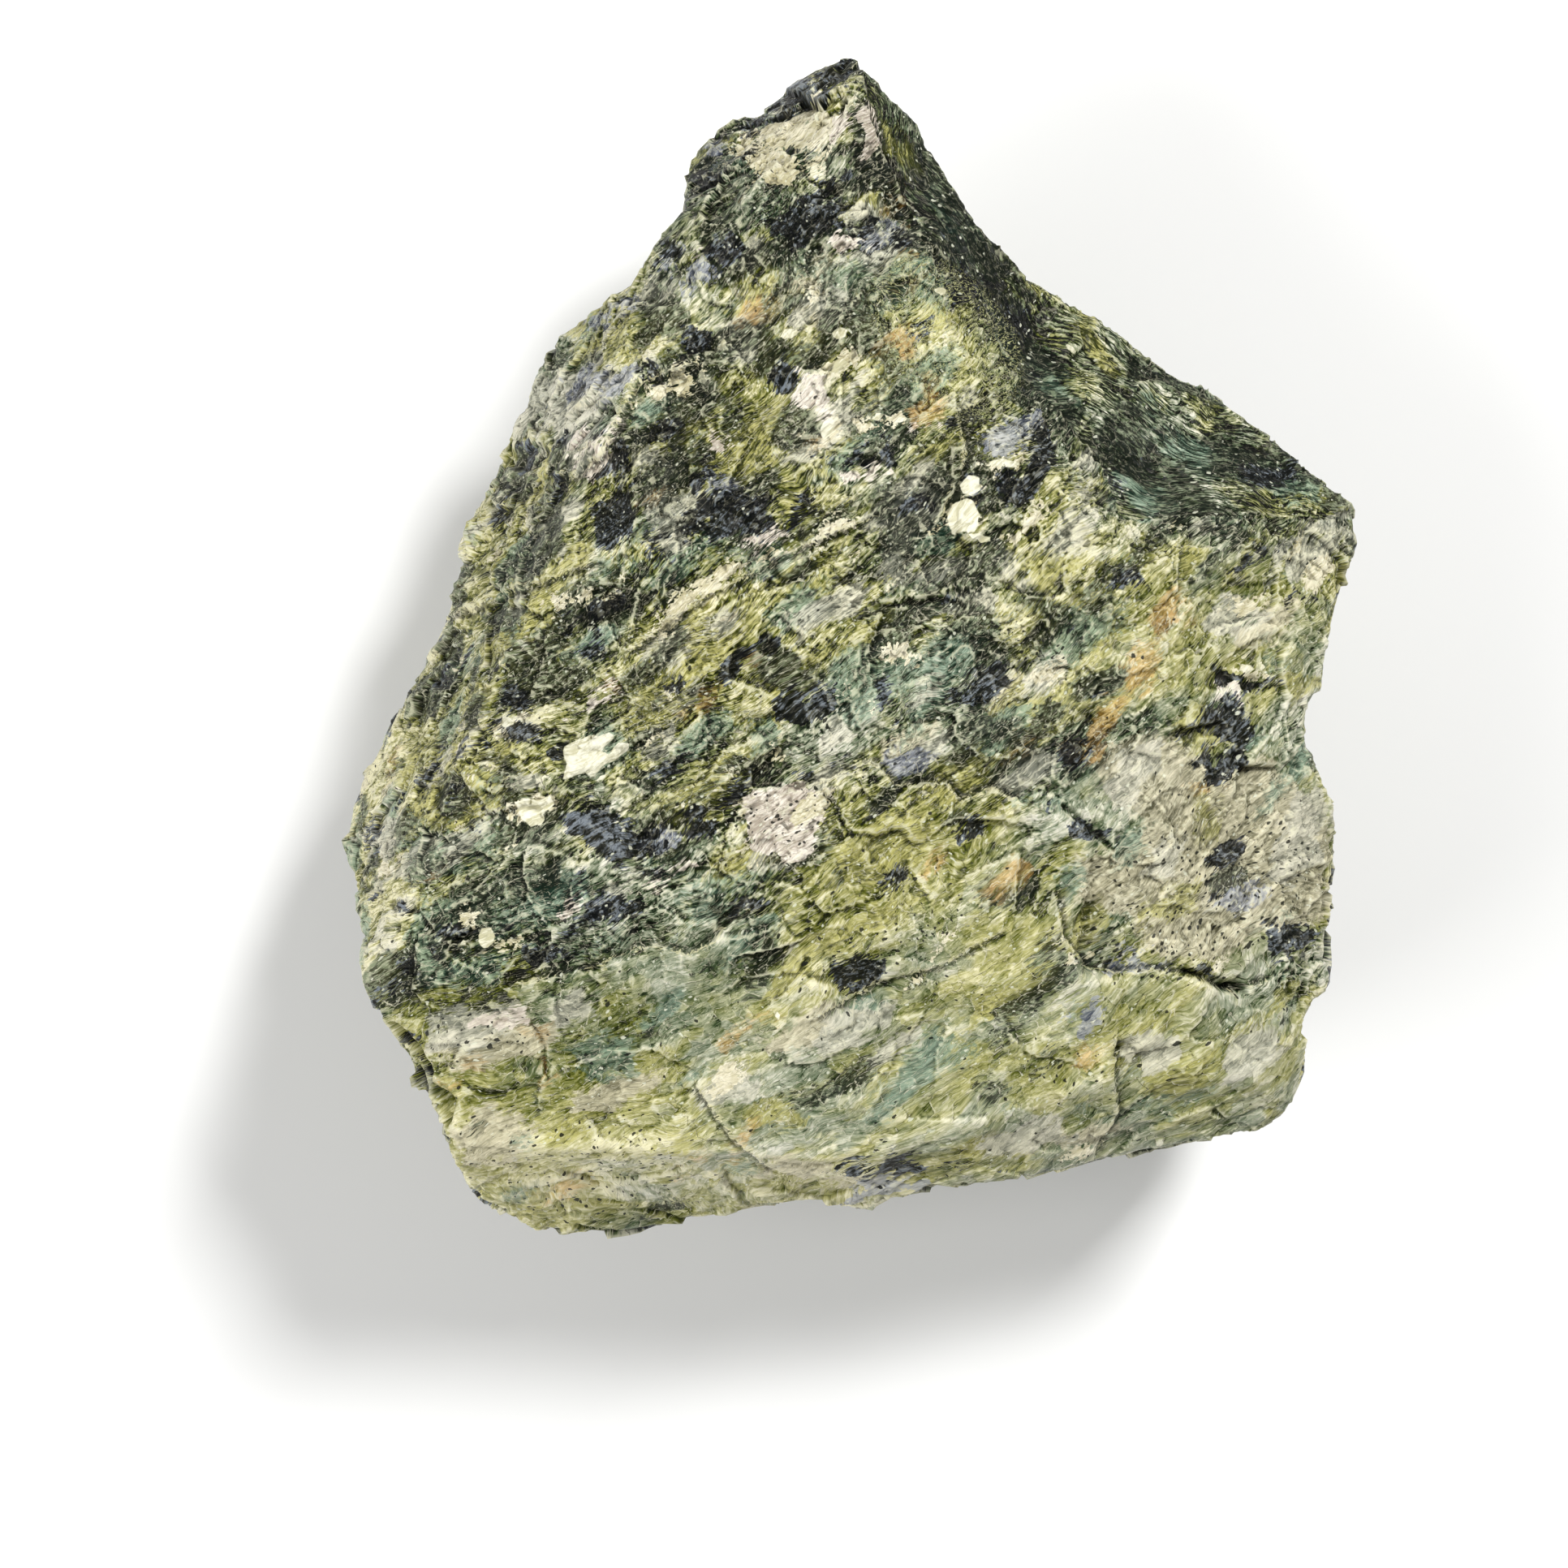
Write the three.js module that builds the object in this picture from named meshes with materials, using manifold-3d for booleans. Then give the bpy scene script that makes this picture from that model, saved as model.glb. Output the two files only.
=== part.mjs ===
// A raw serpentine stone: one broken chunk with a blunt tip, lying on its flattest side with its
// broad speckled face up. X runs across the broad face, Y from its foot to its tip, and Z up from
// the flat side. The origin is on that flat side, under the middle of the stone's outline.

import * as THREE from 'three';
import { ImprovedNoise } from 'three/addons/math/ImprovedNoise.js';
import { mergeVertices } from 'three/addons/utils/BufferGeometryUtils.js';
import Module from 'manifold-3d';

const wasm = await Module();
wasm.setup();

// Driving dimensions, in millimetres
const STONE_WIDTH = 120;
const STONE_LENGTH = 139;
const STONE_THICKNESS = 57;

// How coarse the faceted solid is, in millimetres
const LONGEST_EDGE = 6.2;

// Extra stone below the resting side, taken off again when that side is cut flat
const SPARE_BELOW = 4;

// The stone's girth seen from above, clockwise from its lower left corner
const GIRTH = [
  [-36.5, -68.5], [-42.0, -63.5], [-46.0, -55.0], [-50.0, -47.0], [-53.5, -40.5], [-56.0, -32.5],
  [-59.5, -21.0], [-57.5, -14.5], [-50.5, -4.0], [-47.5, 1.5], [-46.0, 7.0], [-43.5, 16.0],
  [-39.0, 26.5], [-38.0, 31.5], [-35.5, 36.5], [-30.0, 39.5], [-24.0, 42.0], [-21.5, 45.5],
  [-18.0, 49.5], [-18.0, 55.5], [-16.0, 60.5], [-10.0, 64.5], [-1.0, 69.0], [2.0, 69.5],
  [2.5, 67.0], [8.0, 60.5], [11.5, 54.5], [16.0, 48.0], [21.0, 42.5], [26.5, 39.5],
  [34.5, 35.0], [38.0, 32.0], [44.5, 29.0], [57.0, 19.5], [60.5, 17.5], [60.0, 12.5],
  [58.0, 6.5], [55.5, -1.0], [55.5, -4.0], [53.5, -6.5], [53.5, -10.0], [57.5, -18.5],
  [57.5, -24.0], [56.5, -31.5], [56.0, -39.0], [53.0, -42.5], [54.0, -47.0], [52.5, -53.0],
  [48.5, -55.5], [40.0, -56.5], [30.5, -59.0], [15.0, -61.5], [6.5, -63.0], [3.0, -64.5],
  [-2.5, -63.5], [-10.0, -64.5], [-15.5, -66.0], [-25.5, -68.0],
];

// Fracture faces. Each passes through a point and faces a compass direction in degrees, with 0
// along +X and 90 along +Y. Its tilt is 0 where it faces straight up and 90 where it faces aside.
const BROAD_FACE = [
  { at: [-12, 6, 56.6], facing: 130, tilt: 2.5 },
  { at: [0, 34, 56.2], facing: 92, tilt: 6 },
  { at: [0, -36, 56.2], facing: 267, tilt: 11 },
  { at: [27, -14, 56.2], facing: 356, tilt: 13 },
  { at: [38, 6, 54.0], facing: 22, tilt: 21 },
  { at: [30.6, 14.5, 55.0], facing: 38, tilt: 36 },
  { at: [-29, 12, 55.8], facing: 166, tilt: 13 },
  { at: [-37, -20, 55.2], facing: 184, tilt: 15 },
];
const UPPER_EDGES = [
  { at: [-33, 37.5, 48.5], facing: 128, tilt: 62 },
  { at: [-19.5, 52, 48], facing: 158, tilt: 66 },
  { at: [-8, 65, 47.5], facing: 118, tilt: 60 },
  { at: [-42, 19, 50], facing: 163, tilt: 54 },
  { at: [-52, -7, 49.5], facing: 150, tilt: 42 },
  { at: [-58.5, -24, 48.5], facing: 183, tilt: 36 },
  { at: [-51, -48.5, 46], facing: 206, tilt: 63 },
  { at: [-40, -66.5, 44.5], facing: 236, tilt: 50 },
  { at: [-18, -66.5, 44], facing: 261, tilt: 47 },
  { at: [5, -63.5, 42], facing: 268, tilt: 61 },
  { at: [25, -60.5, 44], facing: 277, tilt: 52 },
  { at: [44, -56.5, 44.5], facing: 283, tilt: 42 },
  { at: [53, -50, 45], facing: 332, tilt: 48 },
  { at: [56, -30, 45.5], facing: 354, tilt: 50 },
  { at: [54.5, -5, 46.5], facing: 0, tilt: 47 },
];
const UNDERSIDE = [
  { at: [-59, -20, 27], facing: 186, tilt: 127 },
  { at: [-38, 33, 33], facing: 143, tilt: 119 },
  { at: [-16, 60, 36], facing: 121, tilt: 133 },
  { at: [6, 64, 34], facing: 72, tilt: 138 },
  { at: [36, 36, 23], facing: 46, tilt: 126 },
  { at: [60, 16, 27], facing: 12, tilt: 121 },
  { at: [56, -28, 22], facing: 352, tilt: 116 },
  { at: [50, -55, 26], facing: 314, tilt: 131 },
  { at: [10, -63, 22], facing: 274, tilt: 122 },
  { at: [-34, -68, 27], facing: 252, tilt: 136 },
  { at: [-52, -46, 20], facing: 214, tilt: 113 },
  { at: [-33, -10, 0], facing: 177, tilt: 150 },
  { at: [-14, 18, 0], facing: 122, tilt: 156 },
  { at: [14, 20, 0], facing: 68, tilt: 151 },
  { at: [35, -8, 0], facing: 14, tilt: 148 },
  { at: [32, -34, 0], facing: 329, tilt: 153 },
  { at: [2, -48, 0], facing: 276, tilt: 149 },
  { at: [-26, -40, 0], facing: 224, tilt: 152 },
];

// Beside the tip a steep face falls away from the ridge. It ends in a fold against a gentler face.
const TIP_FOLD = [
  { at: [17.2, 34.5, 55.2], facing: 23, tilt: 58 },
  { at: [17.2, 34.5, 55.2], facing: 113, tilt: 30 },
];

// Shelves cut into the broad face. Each starts at a corner and runs along a riser in a compass
// direction. Its floor is lowest at the riser and climbs back to the surface on the left of it.
const SHELVES = [
  { corner: [26, -36.4, 53.6], along: 351, length: 40, run: 20, climb: 2.4 },
  { corner: [30.3, -44.8, 53.2], along: 266, length: 24, run: 26, climb: -1.5 },
];

// Roughness of the broken surface: how far a point moves, up and sideways, over how long a wave
const WEATHERING = [
  { spacing: 15, rise: 1.7, drift: 0.7 },
  { spacing: 6.5, rise: 0.8, drift: 0.5 },
];

// Far enough apart in the noise that the three directions move on their own
const NOISE_APART = 31.4;

// Larger than the stone every way, for the boxes that cut it
const HUGE = 400;
const noise = new ImprovedNoise();

function radians(degrees) {
  return THREE.MathUtils.degToRad(degrees);
}

function compass(degrees) {
  return new THREE.Vector3(Math.cos(radians(degrees)), Math.sin(radians(degrees)), 0);
}

// A closed geometry as a solid that can be joined and cut
function solidOf(geometry) {
  const bare = geometry.clone();
  bare.deleteAttribute('normal');
  bare.deleteAttribute('uv');
  const merged = mergeVertices(bare, 1e-5);
  const mesh = new wasm.Mesh({
    numProp: 3,
    vertProperties: new Float32Array(merged.attributes.position.array),
    triVerts: new Uint32Array(merged.index.array),
  });
  return new wasm.Manifold(mesh);
}

function geometryOf(solid) {
  const mesh = solid.getMesh();
  const geometry = new THREE.BufferGeometry();
  geometry.setAttribute('position', new THREE.BufferAttribute(new Float32Array(mesh.vertProperties), 3));
  geometry.setIndex(new THREE.BufferAttribute(new Uint32Array(mesh.triVerts), 1));
  return geometry;
}

// A block with the stone's outline, up to the highest point of its broad face
function girthBlock() {
  const corners = GIRTH.map(([x, y]) => new THREE.Vector2(x, y)).reverse();
  const geometry = new THREE.ExtrudeGeometry(new THREE.Shape(corners), {
    depth: STONE_THICKNESS + SPARE_BELOW,
    bevelEnabled: false,
  });
  geometry.translate(0, 0, -SPARE_BELOW);
  return solidOf(geometry);
}

// Everything outside one fracture face
function outside({ at, facing, tilt }) {
  const normal = compass(facing).multiplyScalar(Math.sin(radians(tilt)));
  normal.z = Math.cos(radians(tilt));
  const geometry = new THREE.BoxGeometry(HUGE, HUGE, HUGE);
  geometry.translate(0, 0, HUGE / 2);
  geometry.applyQuaternion(new THREE.Quaternion().setFromUnitVectors(new THREE.Vector3(0, 0, 1), normal));
  geometry.translate(...at);
  return solidOf(geometry);
}

// A box with one lower corner at a point, turned so that its edges follow three directions
function turnedBox(corner, size, along, aside, up) {
  const geometry = new THREE.BoxGeometry(size.x, size.y, size.z);
  geometry.translate(size.x / 2, size.y / 2, size.z / 2);
  geometry.applyMatrix4(new THREE.Matrix4().makeBasis(along, aside, up));
  geometry.translate(corner.x, corner.y, corner.z);
  return solidOf(geometry);
}

// What one shelf takes off the broad face
function aboveShelf({ corner, along, length, run, climb }) {
  const forward = compass(along);
  const left = new THREE.Vector3(-forward.y * run, forward.x * run, climb).normalize();
  const up = forward.clone().cross(left);
  return turnedBox(new THREE.Vector3(...corner), new THREE.Vector3(length, run, run), forward, left, up);
}

// The same surface with its long edges halved down to the limit, the longest edges first
function refined(geometry, limit) {
  let fine = geometry;
  for (let reach = STONE_LENGTH; reach > limit; reach *= Math.SQRT1_2) {
    fine = halved(fine, reach);
  }
  return halved(fine, limit);
}

// The same surface with every edge that is longer than the reach cut at its middle
function halved(geometry, reach) {
  const points = Array.from(geometry.attributes.position.array);
  const corners = Array.from(geometry.index.array);
  const middles = new Map();
  const middleOf = (a, b) => {
    const key = a < b ? `${a},${b}` : `${b},${a}`;
    if (!middles.has(key)) {
      const axes = [0, 1, 2];
      const long = Math.hypot(...axes.map((axis) => points[3 * a + axis] - points[3 * b + axis])) > reach;
      middles.set(key, long ? points.length / 3 : null);
      if (long) {
        points.push(...axes.map((axis) => (points[3 * a + axis] + points[3 * b + axis]) / 2));
      }
    }
    return middles.get(key);
  };
  const triangles = [];
  for (let corner = 0; corner < corners.length; corner += 3) {
    triangles.push(...splitTriangle(corners.slice(corner, corner + 3), middleOf));
  }
  const fine = new THREE.BufferGeometry();
  fine.setAttribute('position', new THREE.BufferAttribute(new Float32Array(points), 3));
  fine.setIndex(triangles);
  return fine;
}

// One triangle cut at the middles of its long edges, into one to four triangles
function splitTriangle([a, b, c], middleOf) {
  const [ab, bc, ca] = [middleOf(a, b), middleOf(b, c), middleOf(c, a)];
  const count = [ab, bc, ca].filter((middle) => middle !== null).length;
  if (count === 0) {
    return [a, b, c];
  }
  if (count === 3) {
    return [a, ab, ca, ab, b, bc, ca, bc, c, ab, bc, ca];
  }
  if (count === 1) {
    if (ab !== null) {
      return [a, ab, c, ab, b, c];
    }
    return bc !== null ? [b, bc, a, bc, c, a] : [c, ca, b, ca, a, b];
  }
  if (ca === null) {
    return [ab, b, bc, a, ab, bc, a, bc, c];
  }
  return ab === null ? [bc, c, ca, b, bc, ca, b, ca, a] : [ca, a, ab, c, ca, ab, c, ab, b];
}

// Waves of noise move every point a little, in all three directions
function weathered(geometry) {
  const position = geometry.attributes.position;
  const point = new THREE.Vector3();
  for (let index = 0; index < position.count; index += 1) {
    point.fromBufferAttribute(position, index);
    const moved = point.clone();
    for (const { spacing, rise, drift } of WEATHERING) {
      const [x, y, z] = [point.x / spacing, point.y / spacing, point.z / spacing];
      moved.x += drift * noise.noise(x + NOISE_APART, y, z);
      moved.y += drift * noise.noise(x, y + NOISE_APART, z);
      moved.z += rise * noise.noise(x, y, z + NOISE_APART);
    }
    position.setXYZ(index, moved.x, moved.y, moved.z);
  }
  return geometry;
}

// The resting side cut flat at height zero
function seated(solid) {
  const geometry = new THREE.BoxGeometry(HUGE, HUGE, HUGE);
  geometry.translate(0, 0, -HUGE / 2);
  return solid.subtract(solidOf(geometry));
}

// The stone brought to its driving dimensions, with the origin under its middle
function sized(geometry) {
  geometry.computeBoundingBox();
  const box = geometry.boundingBox;
  const size = box.getSize(new THREE.Vector3());
  const middle = box.getCenter(new THREE.Vector3());
  geometry.translate(-middle.x, -middle.y, -box.min.z);
  geometry.scale(STONE_WIDTH / size.x, STONE_LENGTH / size.y, STONE_THICKNESS / size.z);
  return geometry;
}

function stoneGeometry() {
  let stone = girthBlock();
  for (const face of [...BROAD_FACE, ...UPPER_EDGES, ...UNDERSIDE]) {
    stone = stone.subtract(outside(face));
  }
  const [steep, gentle] = TIP_FOLD.map(outside);
  stone = stone.subtract(steep.intersect(gentle));
  for (const shelf of SHELVES) {
    stone = stone.subtract(aboveShelf(shelf));
  }
  const rough = weathered(refined(geometryOf(stone), LONGEST_EDGE));
  return sized(geometryOf(seated(solidOf(rough))));
}

function serpentineStone() {
  const material = new THREE.MeshStandardMaterial({
    color: 0x8e9270,
    roughness: 0.6,
    metalness: 0,
    flatShading: true,
  });
  const mesh = new THREE.Mesh(stoneGeometry(), material);
  mesh.name = 'serpentine_stone';
  return mesh;
}

const group = new THREE.Group();
group.add(serpentineStone());

export default group;
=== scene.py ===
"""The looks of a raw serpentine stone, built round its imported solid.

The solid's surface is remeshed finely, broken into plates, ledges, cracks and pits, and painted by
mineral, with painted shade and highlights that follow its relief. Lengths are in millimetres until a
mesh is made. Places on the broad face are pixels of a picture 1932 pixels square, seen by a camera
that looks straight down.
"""

import functools
import math
import types

import bpy
import numpy as np
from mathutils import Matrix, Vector


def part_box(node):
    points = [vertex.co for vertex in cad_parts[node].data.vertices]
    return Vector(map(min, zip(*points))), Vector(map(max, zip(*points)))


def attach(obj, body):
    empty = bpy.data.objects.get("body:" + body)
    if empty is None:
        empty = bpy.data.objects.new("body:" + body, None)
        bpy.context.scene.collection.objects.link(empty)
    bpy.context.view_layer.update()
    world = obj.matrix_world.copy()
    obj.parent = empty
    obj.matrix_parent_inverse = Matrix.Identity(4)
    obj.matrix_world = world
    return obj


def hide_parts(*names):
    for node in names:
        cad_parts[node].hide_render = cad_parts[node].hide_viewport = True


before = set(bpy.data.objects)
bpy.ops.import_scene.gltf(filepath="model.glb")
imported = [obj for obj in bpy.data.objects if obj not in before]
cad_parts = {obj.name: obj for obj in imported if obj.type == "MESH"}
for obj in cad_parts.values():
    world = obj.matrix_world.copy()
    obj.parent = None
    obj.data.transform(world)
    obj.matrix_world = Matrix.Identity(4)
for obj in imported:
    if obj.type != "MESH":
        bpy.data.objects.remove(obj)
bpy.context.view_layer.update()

STONE_NODE = "serpentine_stone"
MM = 0.001

# The picture and its camera, which stands above this place on the stone's plan
PICTURE_PIXELS = 1932
PIXELS_PER_MM = 10.94
CAMERA_PLACE = np.array([-7.2, -15.8])
CAMERA_ABOVE_CROWN = 450.0
SENSOR_WIDTH = 36.0

# Half the floor's side, in metres
FLOOR_REACH = 4.0

# Mesh fineness
VOXEL = 0.36
HIDDEN_TRIANGLES = 46000
MOST_TRIANGLES = 196000

# How squarely a surface faces the camera, from -1 to 1: below the first value it counts as hidden,
# and above the second one it is painted as the picture shows it
HIDDEN_BELOW = 0.12
PAINTED_ABOVE = 0.06

# The broken plates of the surface, from big to small: lengths along the fibres, across them and up,
# the seed of their scatter, how far they stand out or in, and how steeply they lean
CHIPS = ((9.0, 5.0, 7.0), 80, 0.40, 0.17)
FLAKES = ((4.4, 2.1, 4.4), 100, 0.21, 0.13)
SCALES = ((2.0, 1.0, 2.2), 120, 0.06, 0.10)

# How far colours gather at the middle of each flake and each scale
FLAKE_GATHER = 0.6
SCALE_GATHER = 0.3

# The fibres run round these far centres, given as pixels: one for the broad face, one for the slope
FACE_GRAIN_CENTRE = (-630, -1504)
SLOPE_GRAIN_CENTRE = (1691, -62)

# How much finer the slope's grain is along the fibres, across them, and up
SLOPE_STRETCH = np.array([0.55, 1.20, 0.60])

# Relief seen on the broad face, in picture pixels. The high side of a ledge is on its left as the
# points run, and the number is its height in millimetres.
LEDGES = {
    "scalloped rim under the centre": (0.9, [
        (1252, 985), (1225, 969), (1183, 985), (1168, 966), (1103, 966), (1080, 943), (1057, 937),
        (1026, 958), (1000, 966)]),
    "left rim of the lower slab": (0.9, [(889, 1147), (851, 1174), (801, 1163), (724, 1193), (640, 1210)]),
    "rim under the right recess": (0.8, [
        (1560, 1206), (1522, 1224), (1487, 1209), (1436, 1194), (1374, 1199), (1334, 1189), (1308, 1153),
        (1303, 1102)]),
    "upright ledge at the lower right": (0.7, [(1354, 1418), (1377, 1367), (1372, 1332), (1374, 1286)]),
    "ledge above the pale vein": (0.7, [(780, 800), (870, 735), (940, 700), (1010, 664), (1070, 640)]),
    "left shoulder plate": (0.8, [(700, 590), (745, 560), (770, 500), (790, 470), (850, 450)]),
    "plate beside the blue lens": (0.6, [(1160, 640), (1190, 560), (1180, 505), (1225, 488)]),
    "lower plate edge": (0.5, [(1010, 1250), (1080, 1210), (1160, 1190), (1230, 1150)]),
    "left flank plate": (0.6, [(560, 760), (620, 735), (700, 705), (740, 690)]),
    "band plate": (0.45, [(860, 1340), (900, 1400), (950, 1440)]),
}

# Depth and width in millimetres, and the pixels that each crack runs through
CRACKS = {
    "diagonal crack on the right": (1, 0.45, [(1307, 995), (1340, 1012), (1371, 1044)]),
    "crack under the right recess": (1.6, 0.55, [(1461, 1196), (1500, 1208), (1533, 1222)]),
    "short crack in the centre": (1, 0.4, [(946, 679), (955, 697), (963, 713)]),
    "split beside the lower left edge": (2.2, 0.7, [
        (484, 1268), (506, 1300), (522, 1335), (540, 1352), (552, 1362)]),
    "crack at the left rim": (0.9, 0.35, [(720, 1196), (760, 1182), (790, 1170)]),
    "hairline across the band": (0.5, 0.25, [(659, 1262), (668, 1295), (676, 1330)]),
}

# Middle x, middle y, half length, half width, turn in degrees, and depth in millimetres
PITS = {
    "round pit in the centre": (945, 797, 1.2, 1, 0, 1.1),
    "pit under the cream streak": (1500, 838, 1.5, 1.4, 0, 0.9),
    "second pit beside it": (1545, 842, 1.6, 1, 0, 0.8),
    "pit on the left flank": (545, 838, 1, 1, 0, 0.8),
    "hollow below the split": (545, 1375, 1.8, 1.4, 60, 1.4),
    "hollow on the left shoulder": (648, 562, 2.6, 1.5, 10, 0.9),
    "dark hollow in the upper left": (745, 745, 3.6, 2.2, 10, 0.7),
    "hollow beside the vein": (800, 458, 1.8, 1.2, -20, 0.7),
}

# Height in millimetres, and the pixels round each raised grain
RAISED = {
    "pale flake": (0.75, [
        (694, 922), (708, 912), (726, 907), (752, 903), (759, 908), (750, 917), (742, 924), (753, 928),
        (764, 914), (778, 915), (774, 925), (757, 938), (744, 946), (729, 958), (722, 951), (708, 956),
        (694, 962), (698, 942)]),
    "pale flake's neighbour": (0.4, [
        (636, 988), (651, 983), (664, 986), (679, 979), (683, 993), (670, 1003), (667, 1016), (654, 1017),
        (642, 1008)]),
    "round pale grain": (0.35, [
        (1183, 598), (1190, 586), (1204, 587), (1209, 600), (1200, 611), (1187, 609)]),
    "pale grain below it": (0.35, [
        (1166, 640), (1176, 618), (1198, 616), (1207, 634), (1198, 655), (1176, 660)]),
}

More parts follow.
